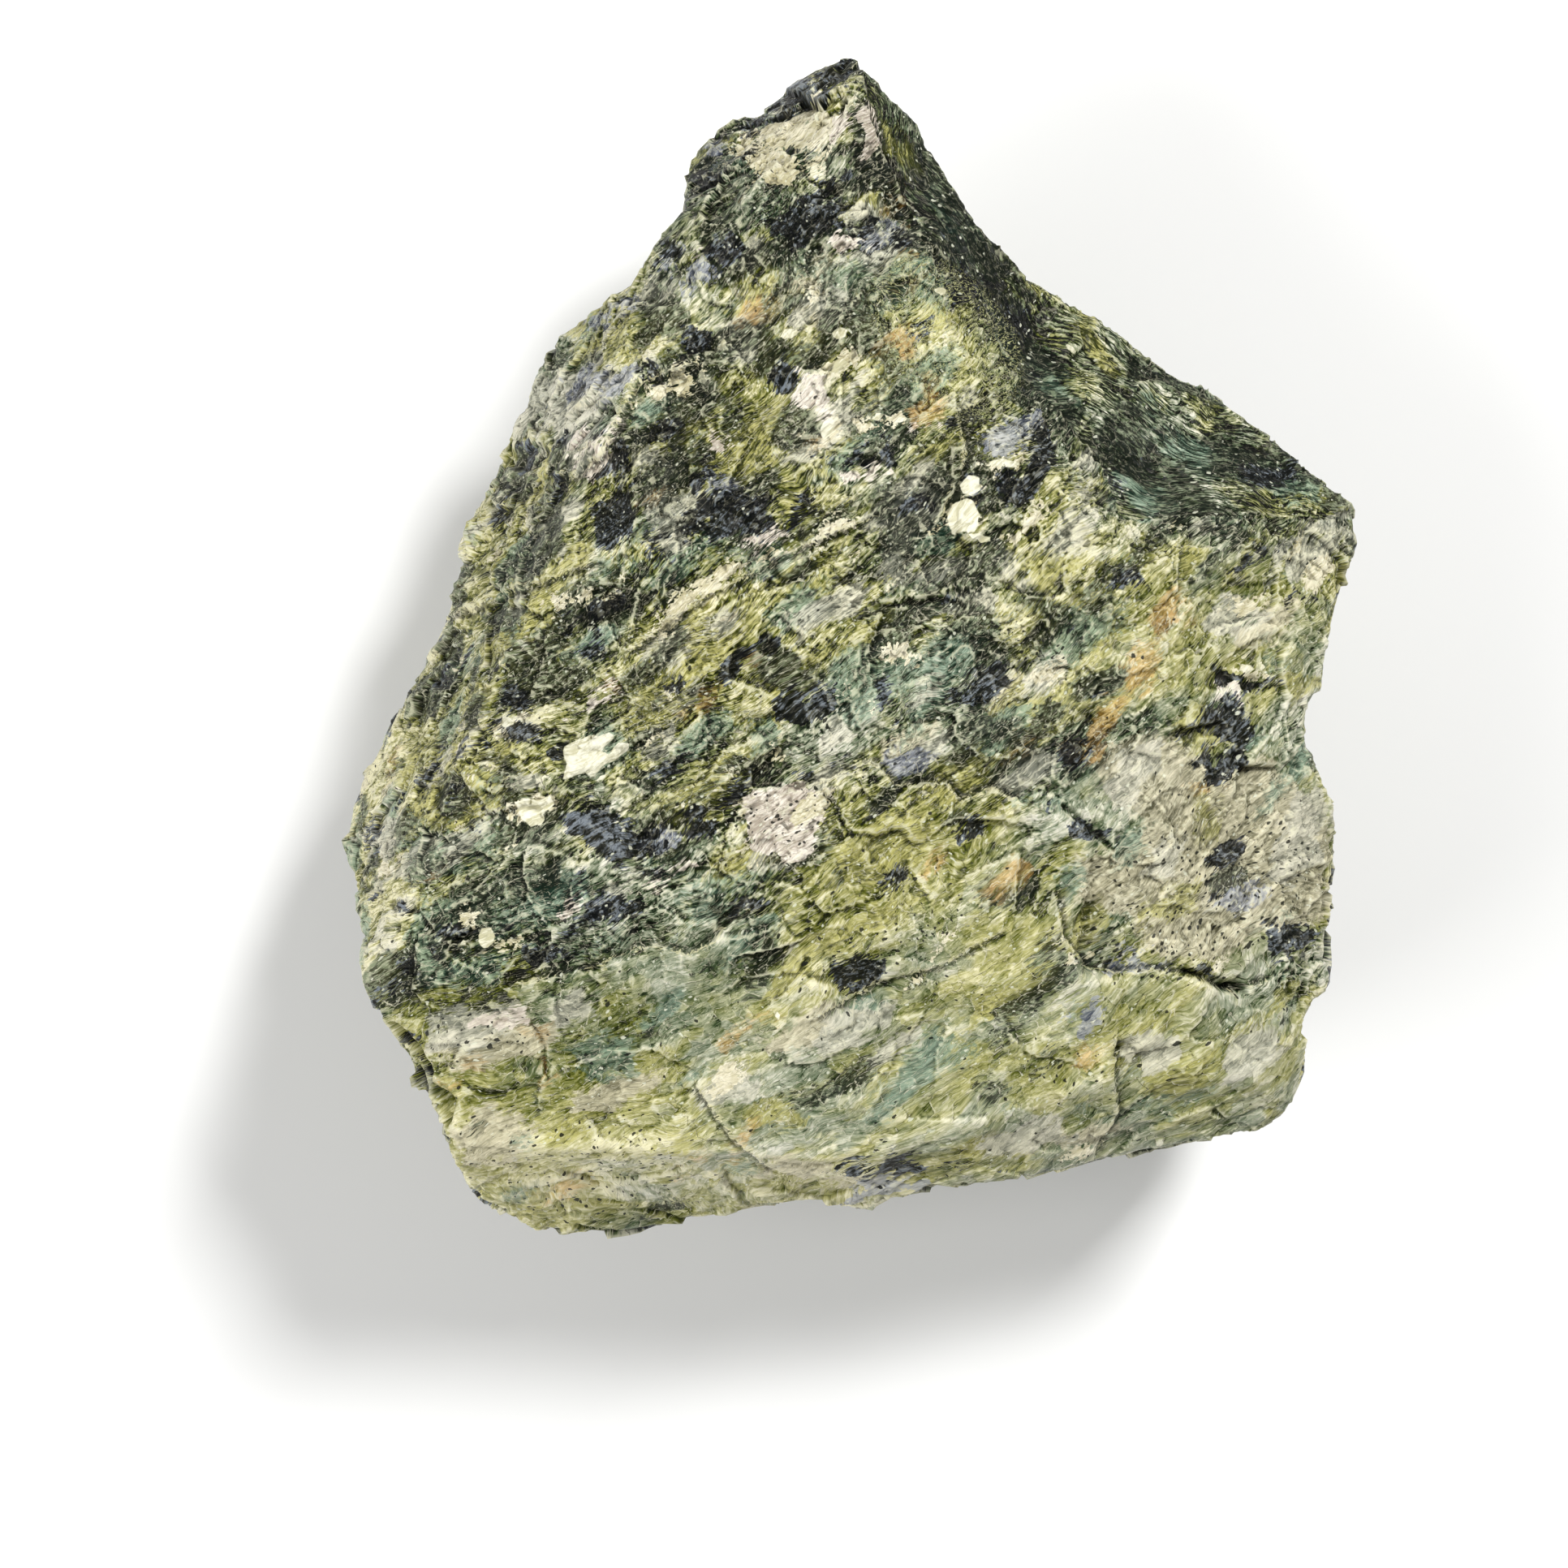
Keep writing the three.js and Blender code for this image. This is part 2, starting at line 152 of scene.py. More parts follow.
# Minerals on the broad face: middle x, middle y, half length, half width and turn in degrees
MINERALS = {
    "olive": [
        (565, 985, 5.2, 3.2, 10), (543, 930, 2.4, 1.6, 0), (588, 868, 2.1, 1.7, 60), (862, 795, 8, 3.2, 33),
        (925, 545, 6, 3.4, 35), (848, 618, 3.6, 1.8, 25), (640, 1485, 2.2, 1.8, 70),
        (1090, 1050, 6, 3.4, 25), (1086, 1122, 4.6, 0.9, 30), (1488, 1000, 3.8, 0.9, 85),
        (640, 770, 4.6, 2, 25), (620, 930, 3.8, 1.2, 35), (1450, 690, 2, 1.2, 30), (1153, 562, 3, 2.2, 30),
        (1010, 615, 4.6, 1.2, 20), (1315, 670, 2.2, 1, 20), (1000, 1185, 6, 1, 40), (960, 1380, 3, 1.4, 0),
        (850, 1405, 3.4, 1, 20), (1340, 790, 5, 2.2, 35), (592, 645, 2.6, 1.2, 75),
        (940, 362, 3.2, 2.4, 20), (1100, 352, 2.8, 2.6, 60), (790, 560, 4, 1.4, 35),
        (1370, 860, 3.2, 1.4, 60), (700, 1390, 3.4, 1.2, 20), (1240, 1230, 4.6, 1.8, 40),
        (1345, 1140, 3, 1.8, 60), (735, 430, 3.2, 1.2, 10), (650, 690, 3.2, 1.4, 30),
        (905, 1060, 3.6, 2, 50), (1108, 185, 4.2, 1, -58), (1525, 702, 2.2, 0.9, 40),
        (1412, 706, 1.2, 0.8, 20), (948, 422, 1.4, 0.7, 30), (1245, 325, 2.4, 1, -50),
        (520, 1110, 2.2, 1.4, 40), (700, 690, 3.6, 1.2, 35), (1250, 870, 2.6, 1.4, 60),
        (1440, 1120, 3.6, 1.6, 30), (985, 830, 4.4, 1.2, 40), (1200, 745, 4, 1.2, 35),
        (1080, 770, 4, 1.2, 40), (1595, 850, 1.6, 2.4, 80)],
    "teal": [
        (682, 1105, 4.2, 2.4, 10), (580, 1194, 1.8, 1, 0), (942, 906, 2, 1.8, 0), (1387, 1040, 2.2, 2.2, 0),
        (752, 1299, 3.6, 2.2, 10), (532, 1148, 2.4, 2.8, 0), (1410, 610, 3.4, 1.6, -20),
        (1150, 362, 2.8, 1.8, 90), (1560, 590, 6, 1.8, -25), (990, 745, 4, 2, 30), (890, 620, 3, 1.2, 40),
        (540, 1050, 3.6, 2.2, 0), (840, 690, 4.4, 1.4, 30), (1320, 1080, 1.6, 1.4, 0),
        (1140, 1300, 3, 2.2, 50), (560, 830, 2.8, 1.4, 50), (1190, 790, 3.6, 1.8, 20),
        (760, 700, 3.4, 1.6, 20), (810, 500, 2.8, 1.2, 35), (1460, 560, 5, 1.2, -32),
        (1138, 812, 1.2, 1.1, 0), (1130, 672, 4, 1.8, 10), (600, 1020, 3, 1.2, 20),
        (895, 205, 2.4, 1.4, -10), (1290, 470, 3.4, 1.6, -50), (720, 800, 3.4, 1.2, 30),
        (1240, 900, 3, 1.6, 50), (930, 1150, 3.6, 1, 35), (1546, 912, 1.8, 1, 30),
        (1190, 1300, 2.6, 1.4, 50), (820, 1240, 3, 1.2, 35), (1060, 1230, 2.4, 1.2, 0)],
    "chalk": [
        (580, 1262, 6.2, 2.2, 8), (700, 1250, 2.6, 1.8, 0), (1529, 758, 3.4, 2.4, 40),
        (1605, 682, 4, 2, 30), (1290, 835, 1.8, 1.4, 0), (1600, 1010, 3.6, 3, 80), (1393, 948, 4.6, 3, 40),
        (900, 1345, 3, 2.2, 20), (470, 1030, 1.6, 4, 0), (680, 650, 1, 4, -5), (1035, 905, 2.2, 1.8, 0),
        (1270, 1400, 5.6, 1.4, 5), (1420, 1300, 3.6, 2.6, 0), (1540, 1300, 3.6, 2.6, 20),
        (1200, 730, 2.8, 1.6, 10), (1015, 370, 3, 2, 10), (1140, 920, 3, 1.6, 20), (650, 900, 2, 1.2, 20),
        (770, 1105, 2.4, 1.2, 0), (1050, 1260, 4.6, 1.8, 20), (660, 510, 1.4, 2.8, 0),
        (1640, 655, 1.8, 1.2, 20), (1100, 1290, 3, 1.2, 30), (1062, 265, 2.3, 1.5, 0),
        (1590, 1060, 2.6, 2.2, 0), (1440, 1060, 2.6, 1.6, 30), (620, 600, 1.8, 1, 60),
        (1060, 720, 2.2, 1, 30)],
    "deep": [
        (735, 745, 5, 2.6, 8), (645, 562, 2.8, 1.7, 10), (1000, 440, 1.6, 1.4, 0), (950, 440, 2.6, 2, 30),
        (560, 1145, 3, 2.4, 0), (690, 840, 3.6, 1.6, 20), (1240, 660, 3, 1, 30), (1190, 700, 4.6, 1.6, 25),
        (850, 560, 4.6, 1.2, 25), (1110, 668, 3, 1.6, 20), (1000, 700, 2.6, 1.2, 60),
        (1180, 322, 4.4, 2, -52), (1240, 420, 4.4, 1.2, -55), (1540, 570, 5, 1.2, -25),
        (1640, 630, 2.8, 1.2, -10), (1040, 1075, 2, 1, 30), (1290, 890, 3, 1.2, 55),
        (1330, 940, 2.6, 1, 60), (943, 398, 1.4, 1.1, 0), (920, 940, 3.6, 0.9, 30),
        (810, 955, 3.6, 0.9, 30), (800, 910, 3.6, 0.8, 25), (1140, 1200, 2.6, 1, 45),
        (1500, 640, 3.4, 1, -8), (1350, 560, 3, 1, -50), (1230, 300, 2, 0.8, -48),
        (1150, 180, 3.6, 0.8, -62), (650, 830, 3, 1.2, 10), (1492, 695, 4, 0.9, 38),
        (1380, 720, 1.6, 1, 20), (760, 560, 2.6, 1.2, 40), (930, 600, 3.6, 1.4, 20),
        (700, 770, 2.6, 1.6, 40), (830, 740, 2, 1.4, 60), (990, 300, 5.6, 1.6, 5), (1440, 600, 4, 1, -25),
        (1300, 500, 4, 1.2, -45), (870, 1200, 2.4, 0.9, 20), (1510, 1090, 2.6, 1.6, 20),
        (600, 1100, 2.2, 1.4, 60)],
    "lilac": [
        (742, 470, 3.2, 1.8, 15), (1250, 541, 3.8, 1.7, 25), (865, 338, 1.6, 1, 20), (1075, 288, 1.4, 1, 0),
        (735, 1122, 1.8, 1, 0), (880, 183, 1.4, 1, 70), (825, 322, 2.2, 1, 40), (760, 385, 3, 0.9, 22),
        (1118, 932, 2.2, 2.1, 0), (967, 117, 2.4, 1.3, 25), (815, 1040, 2.4, 1.2, 10),
        (905, 600, 3, 0.8, 0), (1090, 1465, 4, 1, -5), (1530, 1110, 2.4, 1.4, 20), (1330, 1260, 3, 1.4, 60),
        (1244, 602, 2.4, 1.2, 10), (905, 130, 2.6, 0.9, 30), (1400, 1180, 3, 0.9, 20)],
    "rose": [
        (960, 1012, 4.6, 4, 20), (1502, 862, 1.5, 1.2, -50), (1000, 478, 3.6, 2.2, -55),
        (728, 560, 2.6, 1.6, 55), (885, 540, 2, 1.6, 0), (877, 312, 1.6, 1.4, 0), (1073, 582, 2, 0.9, 25),
        (1030, 157, 1.4, 1, 20), (620, 1255, 3.2, 1, 10), (735, 865, 3.2, 0.7, 35),
        (940, 660, 2.4, 0.8, 30), (1045, 300, 2.6, 0.7, 10), (1140, 520, 1.6, 0.9, 20),
        (1070, 165, 1.2, 2.8, 5), (820, 1085, 2.4, 0.8, 20), (1065, 408, 1.2, 1.1, 0),
        (1512, 873, 1.2, 0.7, 0), (700, 1130, 1.6, 0.8, 0)],
    "cream": [
        (982, 163, 3.6, 1.9, 14), (935, 196, 3.2, 1.2, 10), (958, 214, 2.2, 0.9, -30),
        (1003, 211, 1.2, 1, 70), (1002, 135, 1.7, 0.7, 10), (925, 160, 1.4, 0.8, 30),
        (655, 995, 2.4, 1.5, 25), (596, 1155, 0.8, 1.2, 0), (1196, 598, 1.15, 1.15, 0),
        (1190, 632, 1.4, 1.5, 0), (1175, 647, 1.2, 1.1, 0), (1238, 571, 2.1, 0.7, -5),
        (1536, 824, 1.9, 0.7, 5), (898, 1335, 2, 1.4, 20), (1093, 516, 3, 0.7, -5), (1020, 528, 2, 1.1, 65),
        (1032, 450, 2.3, 1.1, 42), (1250, 655, 3.4, 0.7, 18), (1207, 663, 2, 0.8, -10),
        (835, 760, 3.6, 0.6, 38), (890, 712, 3.6, 0.7, 33), (960, 678, 3.6, 0.7, 25),
        (1035, 655, 3.2, 0.8, 8), (1500, 1180, 2.2, 0.6, 10), (480, 1070, 1.8, 0.8, 40),
        (575, 1130, 0.6, 1.6, 20), (800, 480, 2, 0.9, 40), (855, 450, 0.8, 2.2, -20),
        (1625, 695, 2.2, 1, 60), (1325, 1170, 2.2, 0.6, -40), (990, 1000, 2, 0.9, 30),
        (625, 890, 1.2, 1, 0), (700, 740, 4, 0.6, 35), (915, 1010, 1.8, 0.8, 30),
        (1320, 1430, 2.6, 0.6, 10), (1150, 1180, 3, 0.5, 45), (1297, 832, 1.4, 1.1, 20),
        (1117, 800, 1.2, 1.6, 60), (1100, 785, 1, 1.4, 10), (1540, 735, 2, 0.9, 40)],
    "orange": [
        (1454, 756, 2.2, 1.3, 20), (1402, 822, 3.6, 1.5, 50), (1358, 885, 3.2, 1.4, 62),
        (1229, 1078, 2.4, 1, 60), (1152, 1063, 1.4, 0.6, 20), (668, 1295, 3.2, 0.4, 100),
        (588, 1302, 1.2, 0.7, 30), (546, 1335, 1.8, 0.7, 15), (912, 1275, 3.8, 0.5, 45),
        (850, 1435, 1.4, 0.7, 30), (700, 1465, 2.4, 0.6, 20), (925, 1405, 1.8, 0.6, 30),
        (860, 860, 1.6, 0.6, 40), (1330, 1305, 1.6, 1.2, 0), (1108, 428, 1.6, 0.9, 20),
        (1144, 488, 1.6, 0.9, 90), (1328, 928, 0.9, 0.7, 0), (1500, 967, 1.9, 0.9, 10),
        (1110, 300, 3.6, 0.35, -78), (940, 375, 1.6, 1, 40)],
    "black": [
        (1202, 518, 2.6, 2, 75), (1283, 564, 3, 1.6, 75), (1240, 604, 2.7, 2.1, 10), (912, 628, 4, 2.6, -5),
        (848, 655, 2.6, 1, 20), (755, 642, 2.8, 2.2, 70), (764, 1028, 5.4, 1.8, -20),
        (846, 1024, 1.9, 1.6, 0), (678, 1178, 3, 1.2, 0), (1515, 896, 2.3, 1.9, -30),
        (1503, 840, 1.5, 1.5, 0), (1547, 838, 1.9, 0.9, -8), (1592, 1156, 3.8, 1.6, 5),
        (1190, 1018, 1.2, 0.8, 0), (1272, 983, 1.5, 0.8, -20), (1125, 614, 1.8, 1, 0),
        (988, 955, 1.2, 1, 0), (995, 864, 2.9, 2.2, 0), (1200, 850, 3.6, 1.5, 5), (945, 797, 1.1, 0.9, 0),
        (955, 697, 1.8, 0.6, -65), (800, 458, 2.1, 1, -20), (868, 415, 1.7, 1.2, 60),
        (960, 455, 2.2, 1, 80), (990, 270, 4.2, 2, -4), (1010, 238, 1.8, 1.6, 0), (1060, 283, 1.9, 0.5, 0),
        (1064, 292, 1.2, 0.9, 0), (995, 122, 4.4, 1.2, 16), (930, 152, 1.6, 1.3, 20),
        (1032, 90, 2.4, 1.5, 30), (899, 300, 1.5, 1.2, 0), (1064, 552, 2.2, 0.8, 62),
        (1014, 560, 1.4, 0.6, 10), (872, 592, 2, 1.2, 70), (822, 528, 2.6, 0.6, 35),
        (1098, 548, 1.8, 0.7, 75), (1386, 726, 1.8, 0.9, -20), (1332, 1018, 2.8, 0.9, -38),
        (1064, 1188, 2, 1.9, 0), (1500, 1206, 3.4, 0.7, -15), (1503, 950, 2.2, 1, 0),
        (1440, 890, 0.5, 0.7, 0), (1475, 889, 2, 0.35, 35), (925, 1120, 1.7, 1, 0),
        (745, 750, 2.4, 1.4, 10), (560, 1150, 1.6, 1.2, 0), (545, 840, 1, 1, 0), (1595, 736, 1.8, 1.1, 0),
        (1115, 1437, 2.6, 1.1, -5), (1055, 1440, 2.4, 1.2, 10), (1210, 1432, 2.6, 0.8, -8),
        (1090, 850, 1.2, 2, 0), (700, 925, 1.1, 1.2, 0), (1560, 690, 2.6, 0.4, 26),
        (500, 1300, 0.8, 2.4, 28), (1195, 360, 3, 0.9, -55), (740, 570, 2.4, 0.8, 35),
        (1100, 1080, 1.4, 0.6, 30), (1045, 225, 1.4, 0.8, 20), (630, 1140, 1.5, 0.8, 0),
        (965, 262, 1.4, 1, 40), (1170, 335, 2, 0.8, -55), (640, 560, 1.6, 1, 0), (1518, 1079, 0.6, 0.6, 0),
        (1496, 1115, 0.6, 0.6, 0), (1504, 1050, 1.3, 1.6, 0), (1500, 1076, 1.8, 0.7, 20),
        (1500, 938, 2.2, 1.4, 0), (1535, 905, 1.6, 1.8, 0)],
    "pale": [
        (945, 378, 3.4, 1.8, 20), (1120, 905, 4, 1.4, 25), (610, 1275, 8, 2.8, 8), (1330, 1400, 6, 1.8, 5),
        (1000, 335, 4, 1.6, 10), (480, 1010, 2, 3, 0), (760, 1340, 5, 1.8, 20), (600, 1400, 5, 3, 20),
        (1000, 1450, 7, 1.4, -8), (980, 1270, 4, 1.6, 30), (925, 350, 2.2, 1.4, 0), (1010, 390, 3, 1.2, 10),
        (1560, 770, 3.4, 2, 30), (1240, 860, 2.4, 1.2, 30)],
}

# Patches of the same minerals whose outlines are plain to see
OUTLINED = {
    "rose": [
        [(905, 993), (925, 984), (948, 973), (970, 977), (985, 988), (988, 1003), (1005, 1014), (990, 1037),
         (979, 1055), (963, 1052), (941, 1034), (928, 1016), (912, 1007)]],
    "black": [
        [(683, 1003), (708, 997), (729, 1005), (764, 1018), (786, 1028), (812, 1036), (786, 1060),
         (764, 1066), (739, 1056), (723, 1040), (703, 1024)],
        [(876, 640), (890, 606), (912, 600), (925, 610), (948, 604), (946, 630), (930, 650), (905, 662),
         (880, 668), (862, 660), (838, 664), (836, 648)],
        [(735, 620), (762, 616), (782, 632), (770, 660), (755, 682), (738, 668), (730, 648)],
        [(1284, 520), (1300, 540), (1298, 575), (1280, 598), (1262, 590), (1270, 560)]],
    "cream": [
        [(945, 152), (962, 143), (978, 140), (990, 146), (1012, 152), (1014, 166), (998, 170), (990, 184),
         (972, 178), (962, 186), (948, 172), (936, 178), (928, 164)],
        [(912, 166), (930, 180), (950, 196), (966, 214), (950, 222), (930, 208), (905, 190)],
        [(994, 202), (1010, 198), (1016, 216), (1002, 224)],
        [(986, 132), (1006, 128), (1018, 136), (1002, 142)],
        [(1018, 462), (1022, 448), (1034, 438), (1046, 430), (1052, 436), (1044, 448), (1036, 460),
         (1026, 468)],
        [(994, 341), (1004, 343), (1010, 354), (1014, 362), (1003, 365), (996, 354)]],
    "deep": [
        [(690, 735), (720, 712), (748, 722), (790, 718), (806, 738), (780, 760), (742, 772), (702, 768)],
        [(790, 585), (830, 568), (862, 575), (884, 590), (850, 606), (806, 612)]],
    "chalk": [
        [(650, 472), (672, 456), (716, 458), (760, 452), (778, 466), (752, 486), (736, 512), (740, 552),
         (722, 580), (706, 590), (690, 548), (668, 520), (648, 498)],
        [(1040, 262), (1050, 257), (1066, 254), (1080, 262), (1098, 268), (1100, 276), (1084, 282),
         (1066, 282), (1050, 276)]],
    "pale": [
        [(1335, 935), (1400, 905), (1460, 905), (1500, 960), (1560, 935), (1610, 975), (1640, 1040),
         (1648, 1120), (1600, 1145), (1545, 1150), (1500, 1185), (1430, 1180), (1385, 1130), (1330, 1110),
         (1320, 1060), (1370, 1050), (1420, 1010), (1370, 985)]],
}

# Solid pale flecks with crisp edges: outlines and small ovals
IVORY_OUTLINES = [outline for _, outline in RAISED.values()]
IVORY_OVALS = [
    (596, 1155, 0.8, 1.1, 0), (571, 1166, 0.4, 0.6, 0), (1238, 571, 1.9, 0.45, -5),
    (1093, 516, 2.2, 0.35, -5), (1032, 450, 1.2, 0.5, 42), (1020, 528, 1.2, 0.6, 65),
    (1002, 135, 1.4, 0.35, 10), (1003, 211, 0.8, 0.5, 70), (972, 413, 1.1, 0.5, 0),
    (1035, 410, 0.9, 0.5, 10), (888, 420, 0.4, 0.9, 0), (1160, 357, 0.8, 0.4, -20), (625, 890, 0.8, 0.7, 0),
    (959, 1252, 0.4, 0.4, 0), (1207, 663, 1.4, 0.4, -10), (1536, 824, 1.3, 0.4, 5)]

# Where black specks gather on the broad face
SPECKLES = [
    (565, 985, 6, 3.8, 10), (590, 1275, 7.6, 3.2, 8), (1470, 1110, 15, 8, 20), (1350, 1150, 5, 4, 0),
    (1440, 662, 7, 2, -5), (1325, 1308, 3.6, 2.6, 0), (720, 1440, 10, 6, 10), (960, 1015, 4.6, 4.4, 0),
    (1064, 1180, 3.6, 3.4, 0), (540, 930, 3, 1.8, 0), (1130, 1150, 6, 3, 30), (1280, 780, 6, 4, 0)]

# Where pale hairs lie in curls
CURLY_HAIRS = (1165, 415, 11, 7, -50)

# Where the pale stone on the right has few dark patches
CLEAN_ZONE = (1480, 1080, 17, 15, 0)

# Pale parts of the face where the stone is less broken
CALM_ZONES = [(1480, 1050, 18, 15, 0), (1500, 790, 14, 10, 30), (1120, 1090, 16, 8, 15)]

# Broad zones of the face: middle x, middle y, half length, half width, turn, then how much paler
# and how much warmer the stone is there
ZONES = [
    (1000, 1330, 62, 15, 3, 0.08, -0.03), (620, 1300, 16, 15, 0, -0.17, 0.16),
    (1480, 1000, 17, 34, 0, 0.06, -0.07), (1560, 760, 11, 9, 20, 0.01, 0.08),
    # The next two zones, along the foot's bevel, are paler as painted light, lifting the shade where the
    # bevel faces away from the key light
    (900, 1455, 42, 4.5, -9, 0.16, 0.04), (620, 1480, 12, 6, 10, 0.14, 0.1),
    # Of the next three zones, the second, on the left shoulder, is paler as painted light, lifting the shade
    # there
    (1000, 372, 9, 5, 10, 0.1, 0.04), (680, 520, 7, 5, 60, 0.14, -0.06), (560, 720, 12, 4, 65, 0.09, 0.08),
    (470, 970, 5, 14, 0, 0.08, 0.1), (700, 1120, 12, 5, 10, 0.02, -0.3), (600, 700, 8, 9, 0, 0.05, 0.14),
    (1480, 690, 13, 4, -15, -0.06, 0.04), (1430, 540, 24, 9.5, -33, -0.08, -0.16),
    (1165, 260, 20, 6, -60, -0.44, -0.1), (960, 205, 10, 9, 0, -0.2, -0.3), (455, 1060, 5, 18, 0, 0.18, 0),
    (490, 860, 6, 20, -22, 0.12, 0.24), (600, 640, 7, 14, -20, 0.08, 0.14),
    (560, 1080, 16, 14, 0, -0.03, 0.14), (760, 860, 24, 14, 30, -0.02, 0.12),
    (890, 742, 19, 1.7, 32, 0.22, 0.05), (1120, 420, 8, 9, 0, 0.05, 0.25),
    (640, 725, 7, 1.2, 25, 0.16, 0.05), (1030, 150, 2, 7, 5, 0.14, 0.2),
    (640, 1120, 17, 10, 0, -0.02, -0.12), (800, 640, 19, 15, 30, -0.13, 0.02),
    (1150, 880, 18, 9, 0, 0, -0.18), (580, 940, 15, 9, 40, 0.06, 0.24), (880, 800, 14, 8, 30, 0.02, 0.26),
    (1080, 1060, 18, 9, 20, 0.04, 0.22), (1040, 480, 13, 10, 0, 0.05, 0.02), (920, 540, 9, 7, 30, 0, 0.22),
    (840, 300, 5, 9, 30, -0.08, -0.3), (690, 480, 8, 8, 0, 0.08, -0.2), (640, 1480, 12, 6, 0, 0.04, 0.14),
    (1340, 780, 12, 10, 40, 0.07, 0.14)]

# The dark slope beside the tip, and the waxy band along the foot
SLOPE_OUTLINE = [
    (1062, 80), (1072, 150), (1110, 240), (1160, 320), (1215, 385), (1240, 450), (1300, 500), (1355, 570),
    (1385, 640), (1540, 634), (1640, 640), (1700, 600), (1500, 440), (1230, 260), (1120, 80)]
BAND_OUTLINE = [
    (480, 1235), (640, 1205), (724, 1190), (801, 1165), (890, 1150), (1000, 1210), (1110, 1150),
    (1230, 1130), (1305, 1110), (1330, 1190), (1440, 1200), (1520, 1225), (1660, 1240), (1660, 1600),
    (480, 1600)]

# How rare each mineral is where none is placed, and how big its scattered patches are
STRAYS = {
    "olive": (0.16, 7.0), "teal": (0.14, 5.5), "chalk": (0.14, 4.5), "deep": (-0.04, 4.0),
    "lilac": (0.60, 4.0), "rose": (0.62, 4.5), "cream": (0.36, 3.0), "orange": (0.62, 4.5),
    "black": (0.24, 3.6), "pale": (0.50, 6.0)}


def tint(red, green, blue):
    """A linear colour from screen values of 0 to 255."""
    shares = (value / 255 for value in (red, green, blue))
    return tuple(share / 12.92 if share <= 0.04045 else ((share + 0.055) / 1.055) ** 2.4 for share in shares)


# Colours from dark to pale, for the cool and the warm kinds of the stone's own green
COOL_TONES = [
    (0.00, tint(2, 4, 1)), (0.25, tint(21, 33, 16)), (0.40, tint(70, 86, 58)),
    (0.70, tint(151, 157, 133)), (1.00, tint(220, 217, 200))]
WARM_TONES = [
    (0.00, tint(4, 5, 0)), (0.25, tint(35, 40, 3)), (0.40, tint(88, 93, 26)),
    (0.70, tint(165, 162, 103)), (1.00, tint(227, 221, 182))]

# Each mineral's darker and paler colour, how far its edge fades in millimetres, how fully it covers,
# and the noise that frays its edge, in the order in which they cover one another
MINERAL_COLOURS = {
    "pale": (tint(100, 97, 72), tint(216, 208, 178), 0.50, 0.88, "grit_a"),
    "olive": (tint(50, 55, 7), tint(184, 179, 106), 0.50, 0.80, "streak_c"),
    "teal": (tint(12, 38, 26), tint(134, 158, 136), 0.60, 0.80, "grit_c"),
    "chalk": (tint(112, 114, 100), tint(218, 214, 194), 0.40, 0.80, "streak_b"),
    "deep": (tint(9, 18, 7), tint(108, 120, 92), 0.25, 0.90, "streak_a"),
    "lilac": (tint(62, 68, 84), tint(172, 176, 184), 0.25, 0.75, "grit_b"),
    "rose": (tint(166, 154, 138), tint(244, 235, 221), 0.16, 0.92, "streak_a"),
    "cream": (tint(180, 172, 134), tint(236, 229, 204), 0.06, 0.97, "grit_c"),
    "orange": (tint(126, 94, 38), tint(219, 180, 114), 0.80, 0.62, "streak_c"),
    "black": (tint(4, 6, 7), tint(112, 120, 128), 0.12, 0.97, "streak_b"),
}
PALE_IVORY = tint(240, 237, 214)
DARK_IVORY = tint(190, 186, 152)
SPECK = tint(22, 24, 20)
# Pale crystal flecks, partly painted glints
PALE_FLECK_AND_PAINTED_GLINT = tint(214, 216, 194)
# Painted highlight along the high side of the ledges
PAINTED_LEDGE_HIGHLIGHT = tint(208, 202, 160)
PALE_PLATE_RIM = tint(212, 208, 182)
# Painted highlight on outward bends
PAINTED_EDGE_HIGHLIGHT = tint(214, 212, 182)
PALE_HAIR = tint(210, 206, 176)
CURLED_HAIR = tint(196, 196, 140)
# Painted shade under the ledges
PAINTED_LEDGE_SHADE = tint(22, 28, 14)
# Painted shade in the gaps round plates
PAINTED_PLATE_GAP_SHADE = tint(12, 15, 4)
# Painted shade in creases
PAINTED_CREASE_SHADE = tint(11, 14, 3)
# Painted shade in the gaps between fibres
PAINTED_FIBRE_GAP_SHADE = tint(12, 15, 3)

# The material's patterns: how many waves or cells there are in a millimetre along the fibres, across
# them, and up
GRIT_WAVES = (1.7, 2.1, 0.9)
STREAK_WAVES = (0.50, 4.6, 0.45)
PLATE_CELLS = (0.52, 1.00, 0.40)
CHIP_CELLS = (1.50, 2.80, 0.90)
SPECK_CELLS = (1.3, 1.6, 1.6)

# How far the grit pushes the finer patterns about, in millimetres
GRIT_PUSH = (0.5, 0.20, 0.3)


# Repeatable noise

def hashed(cell, salt):
    """A repeatable number from 0 to 1 for each whole-number lattice cell."""
    x, y, z = (cell[:, axis].astype(np.int64) for axis in range(3))
    mixed = (x * 73856093) ^ (y * 19349663) ^ (z * 83492791) ^ (salt * 2654435761)
    for _ in range(2):
        mixed &= 0xFFFFFFFF
        mixed = (mixed ^ (mixed >> 16)) * 0x45D9F3B
    mixed &= 0xFFFFFFFF
    return ((mixed ^ (mixed >> 16)) & 0xFFFFFF) / float(0xFFFFFF)


def hashed_places(cell, salt):
    """Three repeatable numbers from 0 to 1 for each lattice cell."""
    return np.stack([hashed(cell, salt + axis) for axis in range(3)], axis=1)


def noise(points, spacing, salt):
    """Smooth noise from -1 to 1 with about one wave in each spacing."""
    place = points / spacing
    base = np.floor(place)
    part = place - base
    part = part * part * part * (part * (part * 6 - 15) + 10)
    total = np.zeros(len(points))
    for corner in np.ndindex(2, 2, 2):
        weight = np.prod(np.where(corner, part, 1 - part), axis=1)
        total += weight * hashed(base + corner, salt)
    return total * 2 - 1


